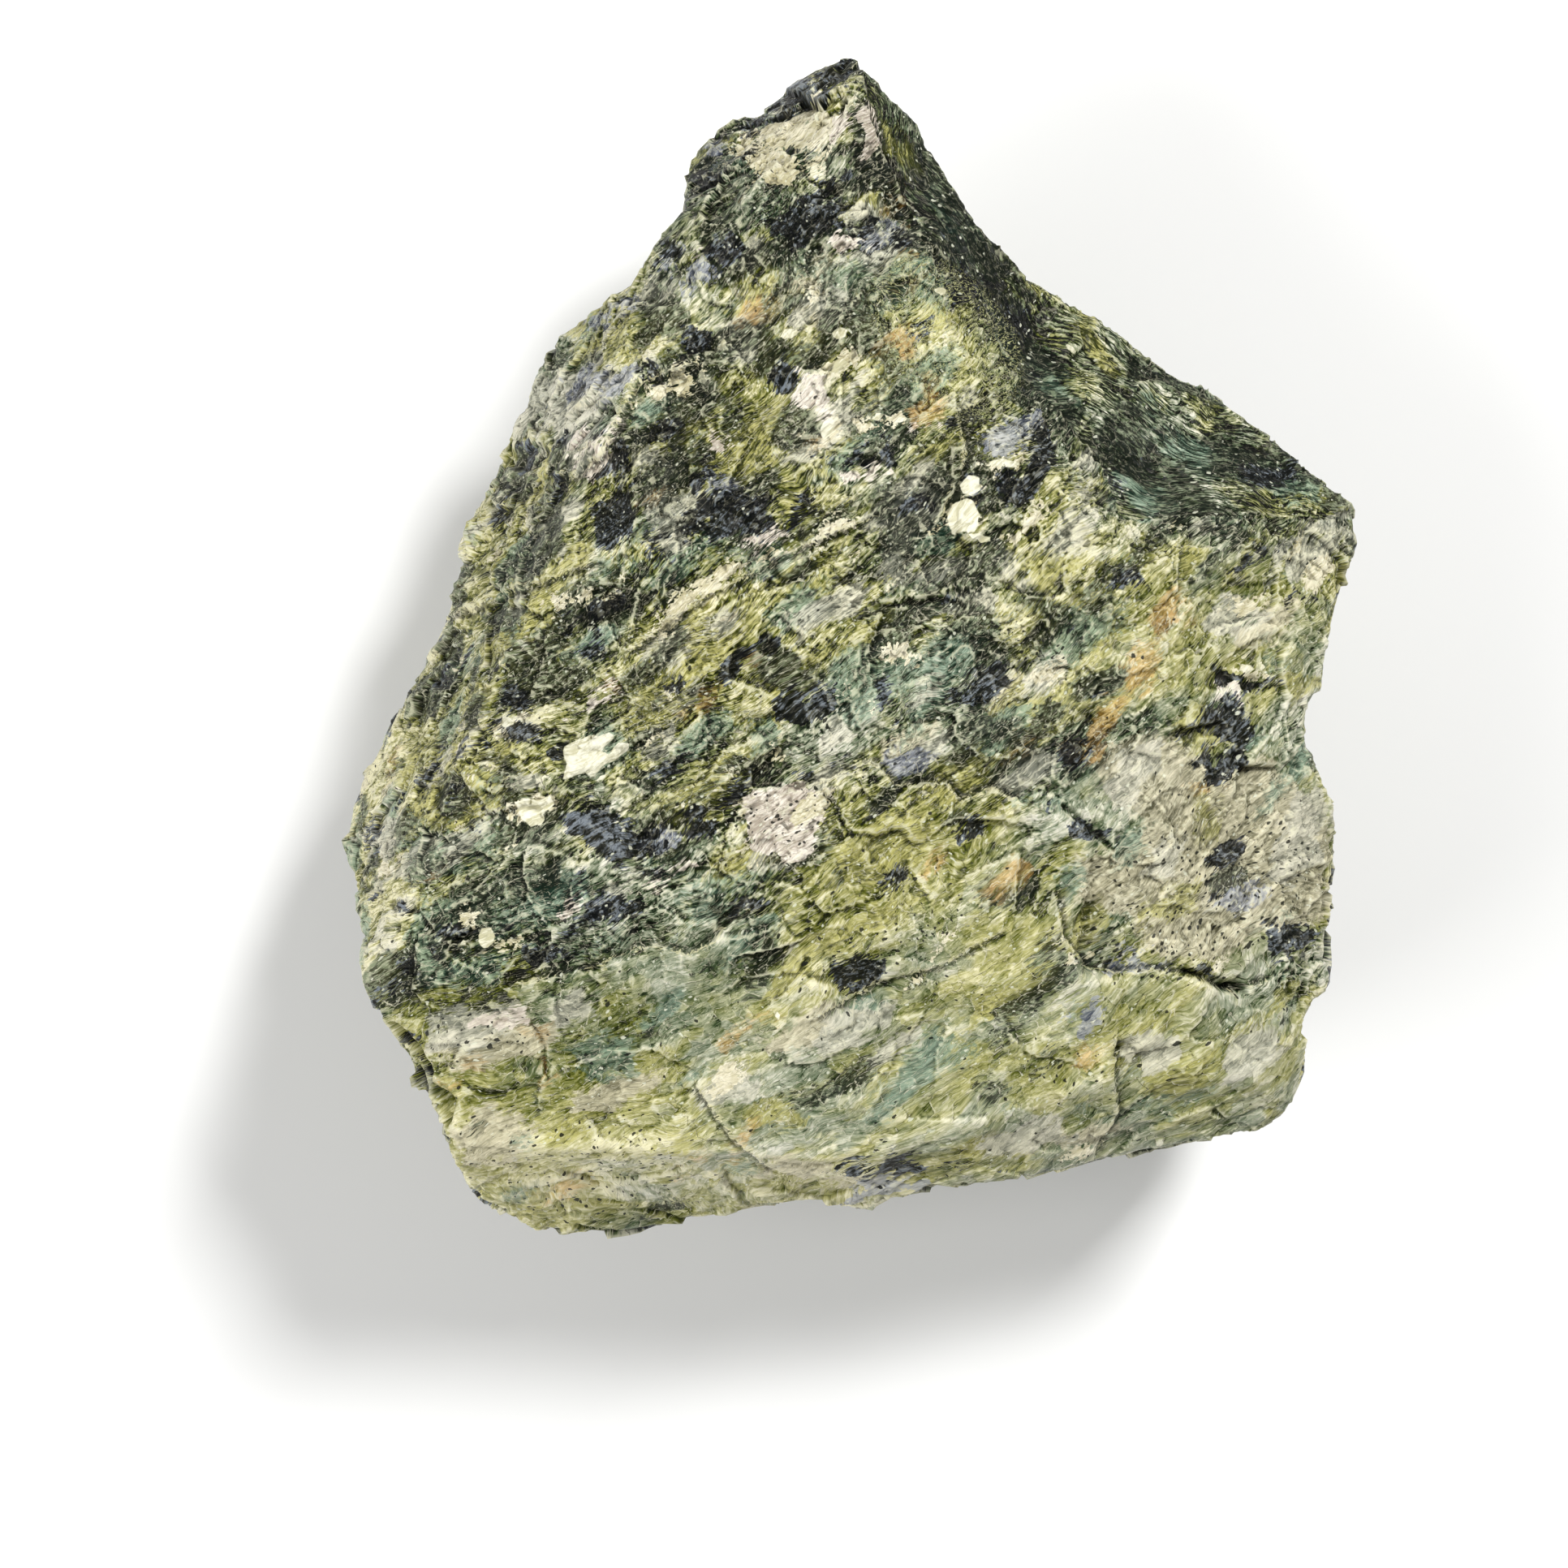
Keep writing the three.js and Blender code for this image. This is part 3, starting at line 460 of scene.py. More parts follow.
def pushes(points, spacing, salt, directions=3):
    """Noise of its own in each direction, to push points about."""
    return np.stack([noise(points, spacing, salt + axis) for axis in range(directions)], axis=1)


def rough_noise(points, spacing, salt, octaves=3):
    """Noise with finer and weaker waves added to it."""
    total = np.zeros(len(points))
    strength = 1.0
    for octave in range(octaves):
        total += strength * noise(points, np.asarray(spacing) / 2 ** octave, salt + octave)
        strength *= 0.5
    return total / 1.6


def blotches(points, spacing, salt):
    """Rough noise pushed towards -1 and 1, so that its patches have edges."""
    return np.tanh(2.4 * rough_noise(points, spacing, salt))


def warped(points, spacing, reach, salt):
    """Points pushed about by noise, so that patterns drawn on them wander."""
    return points + reach * pushes(points, spacing, salt)


def dot(a, b):
    """The scalar product of each pair of rows."""
    return np.einsum("ij,ij->i", a, b)


def nearest_seeds(points, kind):
    """For each point, the lattice cell of its nearest scattered seed, and its offset from that seed."""
    spacing, salt = kind[:2]
    place = points / spacing
    base = np.floor(place)
    nearest = np.full(len(points), np.inf)
    cell = base.copy()
    offset = np.zeros_like(place)
    for step in np.ndindex(3, 3, 3):
        here = base + np.array(step) - 1
        seed = here + hashed_places(here, salt)
        away = place - seed
        gap = dot(away, away)
        closer = gap < nearest
        nearest = np.where(closer, gap, nearest)
        cell[closer] = here[closer]
        offset[closer] = away[closer]
    return cell, offset * spacing


def smooth_step(value, low, high):
    """0 below low, 1 above high, and a smooth rise between them."""
    part = np.clip((value - low) / (high - low), 0, 1)
    return part * part * (3 - 2 * part)


# Places on the broad face

def on_face(pixel):
    """A picture pixel as millimetres from the picture's middle, at the crown's height."""
    middle = PICTURE_PIXELS / 2
    return np.array([pixel[0] - middle, middle - pixel[1]]) / PIXELS_PER_MM


def face_places(points):
    """Where the camera sees each point, in millimetres at the crown's height."""
    crown = points[:, 2].max()
    shrink = CAMERA_ABOVE_CROWN / (CAMERA_ABOVE_CROWN + crown - points[:, 2])
    return (points[:, :2] - CAMERA_PLACE) * shrink[:, None]


def towards_camera(points, normals):
    """How squarely each point faces the camera, from -1 to 1."""
    sight = np.append(CAMERA_PLACE, points[:, 2].max() + CAMERA_ABOVE_CROWN) - points
    sight /= np.linalg.norm(sight, axis=1)[:, None]
    return dot(sight, normals)


def from_grain_centre(points, centre):
    """Each point's offset on the plan from a centre that the fibres run round."""
    return points[:, :2] - (on_face(centre) + CAMERA_PLACE)


def round_centre(points, centre):
    """Points measured along the fibres that run round a centre, across them, and up."""
    away = from_grain_centre(points, centre)
    radius = np.hypot(away[:, 0], away[:, 1])
    along = np.arctan2(away[:, 1], away[:, 0]) * radius.mean()
    return np.stack([along, radius, points[:, 2]], axis=1)


def from_line(places, pixels):
    """Signed gap from a run of picture points (its left is positive), and how far past its ends."""
    corners = [on_face(pixel) for pixel in pixels]
    nearest = np.full(len(places), np.inf)
    signed = np.zeros(len(places))
    past = np.zeros(len(places))
    last = len(corners) - 2
    for index, (start, end) in enumerate(zip(corners, corners[1:])):
        direction = end - start
        length = np.linalg.norm(direction)
        direction = direction / length
        away = places - start
        run = away @ direction
        side = direction[0] * away[:, 1] - direction[1] * away[:, 0]
        gap = np.hypot(run - np.clip(run, 0, length), side)
        closer = gap < nearest
        nearest = np.where(closer, gap, nearest)
        signed = np.where(closer, np.sign(side) * gap, signed)
        before = np.where((run < 0) & (index == 0), -run, 0)
        after = np.where((run > length) & (index == last), run - length, 0)
        past = np.where(closer, before + after, past)
    return signed, past


def from_patch(places, patch):
    """About how far inside an oval patch each point is, in millimetres. Outside it is below 0."""
    x, y, half_length, half_width, turn = patch
    away = places - on_face((x, y))
    turn = math.radians(turn)
    along = away[:, 0] * math.cos(turn) + away[:, 1] * math.sin(turn)
    aside = -away[:, 0] * math.sin(turn) + away[:, 1] * math.cos(turn)
    reach = np.maximum(np.hypot(along / half_length, aside / half_width), 1e-3)
    growth = np.hypot(along / half_length ** 2, aside / half_width ** 2) / reach
    return np.clip((1 - reach) / growth, -4, 4)


def from_outline(places, pixels, reach=1.0):
    """Signed gap into a closed outline of picture points, in units of reach: positive inside."""
    signed, _ = from_line(places, list(pixels) + [pixels[0]])
    corners = np.array([on_face(pixel) for pixel in pixels])
    inside = np.zeros(len(places), bool)
    for start, end in zip(corners, np.roll(corners, -1, axis=0)):
        crosses = (start[1] > places[:, 1]) != (end[1] > places[:, 1])
        rise = end[1] - start[1]
        rise = rise if abs(rise) > 1e-9 else 1e-9
        cut = start[0] + (places[:, 1] - start[1]) * (end[0] - start[0]) / rise
        inside ^= crosses & (places[:, 0] < cut)
    return np.clip(np.where(inside, 1, -1) * np.abs(signed) / reach, -2, 2)


def deepest(places, patches, outlines=(), outline_places=None):
    """How far inside any of some ovals and outlines each point is, in millimetres."""
    outline_places = places if outline_places is None else outline_places
    ovals = (from_patch(places, patch) for patch in patches)
    closed = (from_outline(outline_places, outline) for outline in outlines)
    return functools.reduce(np.maximum, (*ovals, *closed))


# Meshes as arrays

def solid_as_arrays(node):
    """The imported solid, remeshed into even small squares: points in millimetres, and the squares."""
    copy = bpy.data.objects.new("rough_copy", node.data.copy())
    bpy.context.scene.collection.objects.link(copy)
    remesh = copy.modifiers.new("fine", "REMESH")
    remesh.mode = "VOXEL"
    remesh.voxel_size = VOXEL * MM
    graph = bpy.context.evaluated_depsgraph_get()
    mesh = copy.evaluated_get(graph).to_mesh()
    points = np.zeros(len(mesh.vertices) * 3, np.float32)
    mesh.vertices.foreach_get("co", points)
    squares = np.zeros(len(mesh.loops), np.int32)
    mesh.loops.foreach_get("vertex_index", squares)
    copy.evaluated_get(graph).to_mesh_clear()
    bpy.data.objects.remove(copy)
    return points.reshape(-1, 3).astype(float) / MM, squares.reshape(-1, 4)


def mesh_from_arrays(name, points, squares):
    """A mesh object in metres from points in millimetres."""
    mesh = bpy.data.meshes.new(name)
    mesh.vertices.add(len(points))
    mesh.vertices.foreach_set("co", (points * MM).astype(np.float32).ravel())
    mesh.loops.add(squares.size)
    mesh.loops.foreach_set("vertex_index", squares.astype(np.int32).ravel())
    mesh.polygons.add(len(squares))
    mesh.polygons.foreach_set("loop_start", np.arange(0, squares.size, 4, dtype=np.int32))
    mesh.update(calc_edges=True)
    mesh.validate()
    stone = bpy.data.objects.new(name, mesh)
    bpy.context.scene.collection.objects.link(stone)
    return stone


def mesh_points(mesh):
    """A mesh's points in millimetres, and the points of its triangles."""
    points = np.zeros(len(mesh.vertices) * 3)
    mesh.vertices.foreach_get("co", points)
    mesh.calc_loop_triangles()
    corners = np.zeros(len(mesh.loop_triangles) * 3, np.int32)
    mesh.loop_triangles.foreach_get("vertices", corners)
    return points.reshape(-1, 3) / MM, corners.reshape(-1, 3)


def side_pairs(faces, count):
    """Each pair of points that share a side, once, and how many neighbours each of the points has."""
    pairs = np.stack([faces, np.roll(faces, -1, axis=1)], axis=2).reshape(-1, 2)
    pairs.sort(axis=1)
    pairs = np.unique(pairs, axis=0)
    return pairs, np.bincount(pairs.ravel(), minlength=count).astype(float)


def averaged(values, pairs, counts):
    """Each point's value replaced by the mean of its neighbours'."""
    total = np.zeros_like(values)
    for column in range(values.shape[1]):
        ends = np.bincount(pairs[:, 0], values[pairs[:, 1], column], len(values))
        starts = np.bincount(pairs[:, 1], values[pairs[:, 0], column], len(values))
        total[:, column] = ends + starts
    return total / counts[:, None]


def surface_normals(points, faces):
    """Unit normal at each point of squares or triangles. A triangle's fourth corner is its first."""
    width = faces.shape[1]
    a, b, c, d = (points[faces[:, corner % width]] for corner in range(4))
    face = np.cross(c - a, d - b)
    total = np.zeros_like(points)
    for corner in range(width):
        for axis in range(3):
            total[:, axis] += np.bincount(faces[:, corner], face[:, axis], len(points))
    return total / np.maximum(np.linalg.norm(total, axis=1), 1e-9)[:, None]


def hollows(points, corners):
    """How far each point stands out from its neighbours, and from its wider surroundings."""
    neighbours = side_pairs(corners, len(points))
    normals = surface_normals(points, corners)
    level = averaged(points, *neighbours)
    sharp = dot(points - level, normals)
    for _ in range(13):
        level = averaged(level, *neighbours)
    return sharp, dot(points - level, normals)


def thin(stone, free, triangles):
    """Merge the object's free points until it has that many triangles."""
    group = stone.vertex_groups.new(name="free")
    group.add(np.flatnonzero(free).tolist(), 1.0, "REPLACE")
    stone.data.calc_loop_triangles()
    fewer = stone.modifiers.new("fewer", "DECIMATE")
    fewer.vertex_group = "free"
    fewer.ratio = min(1.0, triangles / len(stone.data.loop_triangles))
    graph = bpy.context.evaluated_depsgraph_get()
    mesh = bpy.data.meshes.new_from_object(stone.evaluated_get(graph))
    old = stone.data
    stone.modifiers.clear()
    stone.data = mesh
    stone.vertex_groups.clear()
    bpy.data.meshes.remove(old)


def add_field(mesh, name, values):
    """A number or a place for each point, which the material reads by name."""
    values = np.asarray(values, np.float32)
    kind, key = ("FLOAT_VECTOR", "vector") if values.ndim == 2 else ("FLOAT", "value")
    mesh.attributes.new(name, kind, "POINT").data.foreach_set(key, values.ravel())


def stored(mesh, name, width=1):
    """The numbers kept under a name on each point of a mesh, which lose that name."""
    attribute = mesh.attributes[name]
    values = np.zeros(len(mesh.vertices) * width, np.float32)
    attribute.data.foreach_get("vector" if width == 3 else "value", values)
    mesh.attributes.remove(attribute)
    return values.reshape(-1, width).astype(float) if width > 1 else values.astype(float)


# The broken surface

def grain_places(points, slope):
    """Points measured along the fibres, across them, and up. The fibres turn on the slope."""
    face = round_centre(points, FACE_GRAIN_CENTRE)
    turned = round_centre(points, SLOPE_GRAIN_CENTRE) * SLOPE_STRETCH
    return np.where(slope[:, None] > 0.5, turned, face)


def broken_grain(points, slope):
    """Grain places that wander, so that no plate or fibre is straight."""
    return grain_places(warped(warped(points, 11.0, 2.0, 50), 3.2, 0.4, 60), slope)


def plates(grain, kind):
    """Steps and leans of small broken plates: each has a height and a slope of its own."""
    _, salt, height, lean = kind
    cell, offset = nearest_seeds(grain, kind)
    lift = (hashed(cell, salt + 11) - 0.5) * 2 * height
    slopes = (hashed_places(cell, salt + 12) - 0.5) * 2 * lean
    return lift + dot(offset, slopes)


def plate_middles(points, grain, slope, kind):
    """Each point's plate, its offset from the plate's middle in the grain, and the same on the face."""
    cell, offset = nearest_seeds(grain, kind)
    across = np.where(
        slope[:, None] > 0.5, from_grain_centre(points, SLOPE_GRAIN_CENTRE),
        from_grain_centre(points, FACE_GRAIN_CENTRE))
    across /= np.linalg.norm(across, axis=1)[:, None]
    along = np.stack([-across[:, 1], across[:, 0]], axis=1)
    return cell, offset, offset[:, :1] * along + offset[:, 1:2] * across


def shingles(grain, spacing, salt):
    """Overlapping sheets along the grain: a slow rise and a sudden drop, again and again."""
    layer = (grain[:, 1] - 0.3 * grain[:, 2]) / spacing + 0.5 * noise(grain, (9.0, 5.0, 5.0), salt)
    return (layer - np.floor(layer)) - 0.5


def named_relief(places):
    """Height of the ledges, cracks, pits and raised grains seen on the broad face."""
    height = np.zeros(len(places))
    for drop, pixels in LEDGES.values():
        signed, past = from_line(places, pixels)
        high = smooth_step(signed, -0.22, 0.22)
        step = high * np.exp(-np.abs(signed) / 5) - (1 - high) * np.exp(-np.abs(signed) / 3.5)
        height += drop * np.exp(-past / 1.5) * step / 2
    for depth, width, pixels in CRACKS.values():
        signed, past = from_line(places, pixels)
        height -= depth * np.exp(-(signed / width) ** 2) * np.exp(-past / 0.6)
    for *patch, depth in PITS.values():
        height -= depth * smooth_step(from_patch(places, patch), -0.2, 0.5)
    for rise, pixels in RAISED.values():
        height += rise * smooth_step(from_outline(places, pixels), -0.25, 0.2)
    return height


def band_field(places, seen):
    """How fully each point lies on the waxy band along the foot."""
    return smooth_step(from_outline(places, BAND_OUTLINE, 3.0), -0.5, 0.5) * seen


def stone_relief(points, normals):
    """How far each point moves out along its normal, where the slope is, and what faces the camera."""
    places = face_places(points)
    facing = towards_camera(points, normals)
    seen = smooth_step(facing, 0.05, 0.35)
    slope = smooth_step(from_outline(places, SLOPE_OUTLINE, 3.0), -0.3, 0.3) * seen
    grain = broken_grain(points, slope)
    sheets = shingles(grain, 3.4, 140) * 0.30 + shingles(grain, 1.3, 150) * 0.08
    rugged = 0.75 + 0.35 * noise(points, 14.0, 70)
    body = (plates(grain, CHIPS) + plates(grain, FLAKES) + sheets) * rugged
    fibres = noise(grain, (6.0, 0.8, 3.0), 160) * 0.06
    grit = noise(points, 0.9, 170) * 0.04
    rim = smooth_step(from_outline(places, SLOPE_OUTLINE, 4.0), -2.5, 0.3) * smooth_step(facing, -0.6, -0.1)
    calm = 1 - 0.40 * band_field(places, seen) - 0.62 * np.maximum(slope, rim * (1 - seen))
    height = (body + plates(grain, SCALES)) * calm + fibres * (1 + 0.9 * slope) + grit
    wander = pushes(points, 3.0, 40, 2) * 0.5
    return height + seen * named_relief(places + wander), slope, facing


# The fields that the material reads

def stray_field(name, grain, salt):
    """Scattered patches of a mineral, stretched along the grain."""
    rarity, size = STRAYS[name]
    return 0.9 * size * (rough_noise(grain, np.array([1.7, 1.0, 1.4]) * size, salt, 2) - rarity - 0.12)


def mineral_fields(points, seen, grain, facing, waxy, slope):
    """How far inside each mineral a point is: the seen patches, and scattered ones everywhere else."""
    nearly = 0.6 * face_places(points) + 0.4 * seen
    painted = facing > PAINTED_ABOVE
    clean = 1.2 * smooth_step(from_patch(seen, CLEAN_ZONE), -2, 2) * painted
    for wave, reach in ((6.0, 1.1), (2.6, 0.7)):
        seen = seen + reach * pushes(points, wave, 930, 2)
    fields = {}
    for number, (name, patches) in enumerate(MINERALS.items()):
        field = deepest(seen, patches, OUTLINED.get(name, ()), nearly)
        stray = stray_field(name, grain, 940 + 10 * number) - 1.2 * waxy
        if name in ("deep", "black", "olive"):
            stray -= clean
        if name not in ("deep", "black", "teal"):
            stray -= slope
        fields[name] = np.where(painted, np.maximum(field, stray - 0.5), stray)
    return fields


def ivory_field(points, facing):
    """How far inside a solid pale fleck each point is, in millimetres."""
    places = face_places(points) + 0.25 * pushes(points, 0.9, 960, 2)
    field = deepest(places, IVORY_OVALS, IVORY_OUTLINES)
    return np.where(facing > PAINTED_ABOVE, field, -2.0)


def zone_fields(places, points):
    """How much paler and how much warmer the stone is at each point."""
    paler = 0.06 * noise(points, 18.0, 500)
    warmer = 0.18 * noise(points, 15.0, 510)
    for *patch, pale, warm in ZONES:
        soft_edge = min(patch[3], 7.0)
        inside = smooth_step(from_patch(places, patch) / soft_edge, -0.4, 0.5)
        paler += pale * inside
        warmer += 1.4 * warm * inside
    return paler, warmer


def ledge_field(places):
    """Gap from the nearest ledge in millimetres: above 0 on its high side, below 0 on its low side."""
    field = np.full(len(places), 3.0)
    for _, pixels in LEDGES.values():
        signed, past = from_line(places, pixels)
        gap = np.sign(signed) * (np.abs(signed) + past)
        field = np.where(np.abs(gap) < np.abs(field), gap, field)
    return np.clip(field, -3, 3)


def waxy_field(places, seen):
    """How waxy and unbroken the stone is: the band along the foot, and the calm zones."""
    zones = [smooth_step(from_patch(places, zone), -3, 3) for zone in CALM_ZONES]
    return np.maximum(band_field(places, seen), 0.80 * np.max(zones, axis=0) * seen)


def add_tones(mesh, places, points, middle, flake, scale, slope, waxy):
    """How much paler and warmer the stone is, zone by zone, band by band and plate by plate."""
    paler, warmer = zone_fields(places, points)
    paler -= 0.05 * slope
    tone = 0.13 * blotches(middle, (15.0, 4.8, 11.0), 650) + 0.14 * blotches(middle, (5.5, 2.8, 4.5), 655)
    tone = tone + 0.21 * (hashed(flake, 671) - 0.5) + 0.13 * (hashed(scale, 672) - 0.5)
    hue = 0.30 * blotches(middle, (13.0, 4.6, 9.0), 660)
    hue = hue + 0.30 * (hashed(flake, 673) - 0.5) + 0.12 * (hashed(scale, 674) - 0.5)
    add_field(mesh, "paler", paler + tone * (1 - 0.55 * waxy))
    add_field(mesh, "warmer", warmer + hue)


def paint(mesh):
    """Store the fields that the material reads on the final points."""
    sharp, stand = hollows(*mesh_points(mesh))
    points = stored(mesh, "unbroken", 3)
    slope = stored(mesh, "slope")
    facing = stored(mesh, "facing")
    places = face_places(points)
    waxy = waxy_field(places, smooth_step(facing, -0.1, 0.3))
    grain = broken_grain(points, slope)
    flake, in_flake, to_flake = plate_middles(points, grain, slope, FLAKES)
    scale, in_scale, to_scale = plate_middles(points, grain, slope, SCALES)
    sampled = places - FLAKE_GATHER * to_flake - SCALE_GATHER * to_scale
    middle = grain - FLAKE_GATHER * in_flake - SCALE_GATHER * in_scale
    for name, field in mineral_fields(points, sampled, grain, facing, waxy, slope).items():
        add_field(mesh, name, field)
    add_field(mesh, "ivory", ivory_field(points, facing))
    add_tones(mesh, places, points, middle, flake, scale, slope, waxy)
    add_field(mesh, "specks", np.where(facing > 0, deepest(places, SPECKLES), noise(points, 12.0, 600)))
    add_field(mesh, "curly", np.where(facing > 0, from_patch(places, CURLY_HAIRS), -4))
    add_field(mesh, "ledge", np.where(facing > 0.1, ledge_field(places), 3.0))
    add_field(mesh, "fibrous", slope)
    add_field(mesh, "waxy", waxy)
    add_field(mesh, "edge", np.clip(sharp / 0.062, -3, 3))
    add_field(mesh, "crest", np.clip(stand / 0.22, -3, 3))
    bent = warped(warped(points, 16.0, 3.0, 620), 4.0, 0.9, 625)
    add_field(mesh, "face_grain", round_centre(bent, FACE_GRAIN_CENTRE))
    add_field(mesh, "slope_grain", round_centre(bent, SLOPE_GRAIN_CENTRE) * SLOPE_STRETCH)
    mesh.polygons.foreach_set("use_smooth", np.ones(len(mesh.polygons), bool))


def build_stone(node):
    """The finished stone mesh, with the fields that its material reads."""
    points, squares = solid_as_arrays(node)
    neighbours = side_pairs(squares, len(points))
    resting = points[:, 2] < 0.3
    for _ in range(9):
        points += 0.6 * (averaged(points, *neighbours) - points)
    normals = surface_normals(points, squares)
    for _ in range(6):
        normals = averaged(normals, *neighbours)
    normals /= np.linalg.norm(normals, axis=1)[:, None]
    height, slope, facing = stone_relief(points, normals)
    height[resting] = 0
    broken = points + normals * height[:, None]
    broken[:, 2] = np.maximum(broken[:, 2], 0)
    stone = mesh_from_arrays("serpentine_surface", broken, squares)
    add_field(stone.data, "unbroken", points)
    add_field(stone.data, "slope", slope)
    add_field(stone.data, "facing", facing)
    hidden = towards_camera(broken, normals) < HIDDEN_BELOW
    seen_triangles = 2 * int(np.count_nonzero(~hidden[squares].all(axis=1)))
    thin(stone, hidden, seen_triangles + HIDDEN_TRIANGLES)
    points, corners = mesh_points(stone.data)
    thin(stone, towards_camera(points, surface_normals(points, corners)) >= HIDDEN_BELOW, MOST_TRIANGLES)
    points, _ = mesh_points(stone.data)
    points[:, 2] = np.maximum(points[:, 2], 0)
    stone.data.vertices.foreach_set("co", (points * MM).astype(np.float32).ravel())
    paint(stone.data)
    return stone


class Shading:
    """Short ways to add and join the nodes of one material."""

    def __init__(self, name):
        self.material = bpy.data.materials.new(name)
        self.material.use_nodes = True
        self.tree = self.material.node_tree
        self.tree.nodes.clear()

    def node(self, kind, inputs, **settings):
        """A node with settings, and each input joined or given a value."""
        made = self.tree.nodes.new(kind)
        for key, value in settings.items():
            setattr(made, key, value)
        for key, value in inputs.items():
            socket = made.inputs[key]
            if isinstance(value, bpy.types.NodeSocket):
                self.tree.links.new(value, socket)
            else:
                socket.default_value = value
        return made

    def finish(self, inputs):
        """The material, with these inputs of its one shader."""
        shader = self.node("ShaderNodeBsdfPrincipled", inputs)
        self.node("ShaderNodeOutputMaterial", {"Surface": shader.outputs[0]})
        return self.material

    def math(self, operation, a, b=0.0, c=0.0):
        return self.node("ShaderNodeMath", {0: a, 1: b, 2: c}, operation=operation).outputs[0]

    def times(self, *values):
        """The product of some values."""
        return functools.reduce(functools.partial(self.math, "MULTIPLY"), values)

    def total(self, *values):
        """The sum of some values."""
        return functools.reduce(functools.partial(self.math, "ADD"), values)

    def eased(self, value, change):
        """1, changed by that much where the value is 1."""
        return self.math("MULTIPLY_ADD", value, change, 1.0)

    def swing(self, value, strength):
        """A 0 to 1 value as a push of that strength either way."""
        return self.math("MULTIPLY_ADD", value, 2 * strength, -strength)

    def vector(self, operation, a, b):
        made = self.node("ShaderNodeVectorMath", {0: a, 1: b}, operation=operation)
        return made.outputs["Value" if operation == "DOT_PRODUCT" else "Vector"]

    def from_middle(self, colour):
        """A colour or vector of 0 to 1 values, measured from the middle of their range."""
        return self.vector("SUBTRACT", colour, (0.5, 0.5, 0.5))

    def field(self, name, output="Fac"):
        return self.node("ShaderNodeAttribute", {}, attribute_name=name).outputs[output]

    def waves(self, vector, roughness):
        """Noise with one wave in each unit of the vector: the value and three separate channels."""
        inputs = {"Vector": vector, "Scale": 1.0, "Detail": 2.0, "Roughness": roughness}
        made = self.node("ShaderNodeTexNoise", inputs, noise_dimensions="3D")
        return made.outputs["Fac"], made.outputs["Color"]

    def cells(self, vector, feature="F1"):
        """The outputs of scattered cells, one in each unit of the vector."""
        inputs = {"Vector": vector, "Scale": 1.0}
        return self.node("ShaderNodeTexVoronoi", inputs, voronoi_dimensions="3D", feature=feature).outputs

    def facet(self, vector, cells):
        """A lean of its own for each cell: the offset from its seed along a direction of its own."""
        offset = self.vector("SUBTRACT", vector, cells["Position"])
        return self.vector("DOT_PRODUCT", offset, self.from_middle(cells["Color"]))

    def parts(self, colour):
        """The three channels of a colour or vector."""
        made = self.node("ShaderNodeSeparateColor", {"Color": colour})
        return [made.outputs[channel] for channel in ("Red", "Green", "Blue")]

    def rise(self, value, low, high):
        """0 below low, 1 above high, and a smooth rise between them."""
        inputs = {"Value": value, "From Min": low, "From Max": high, "To Min": 0.0, "To Max": 1.0}
        made = self.node("ShaderNodeMapRange", inputs, interpolation_type="SMOOTHSTEP", clamp=True)
        return made.outputs["Result"]

    def crisp(self, value):
        """Noise with its middle values pushed apart, so that strokes have edges."""
        return self.rise(value, 0.41, 0.59)

    def thread(self, value, outer, inner):
        """1 along the thin lines where noise has its middle value, and 0 beyond that reach."""
        return self.rise(self.math("ABSOLUTE", self.math("SUBTRACT", value, 0.5)), outer, inner)

    def ramp(self, value, stops):
        """A colour picked from stops, each a place from 0 to 1 and a linear colour."""
        made = self.node("ShaderNodeValToRGB", {"Fac": value})
        band = made.color_ramp
        while len(band.elements) < len(stops):
            band.elements.new(0.5)
        for element, (place, colour) in zip(band.elements, stops):
            element.position = place
            element.color = (*colour, 1.0)
        return made.outputs["Color"]

    def mix(self, share, a, b):
        """a where share is 0 and b where it is 1. Both are colours."""
        a, b = ((*value, 1.0) if isinstance(value, tuple) else value for value in (a, b))
        return self.node("ShaderNodeMix", {0: share, 6: a, 7: b}, data_type="RGBA").outputs[2]

    def laid(self, over, share, strength, colour):
        """A colour laid over another one, at that strength where the share is 1."""
        return self.mix(self.times(share, strength), over, colour)


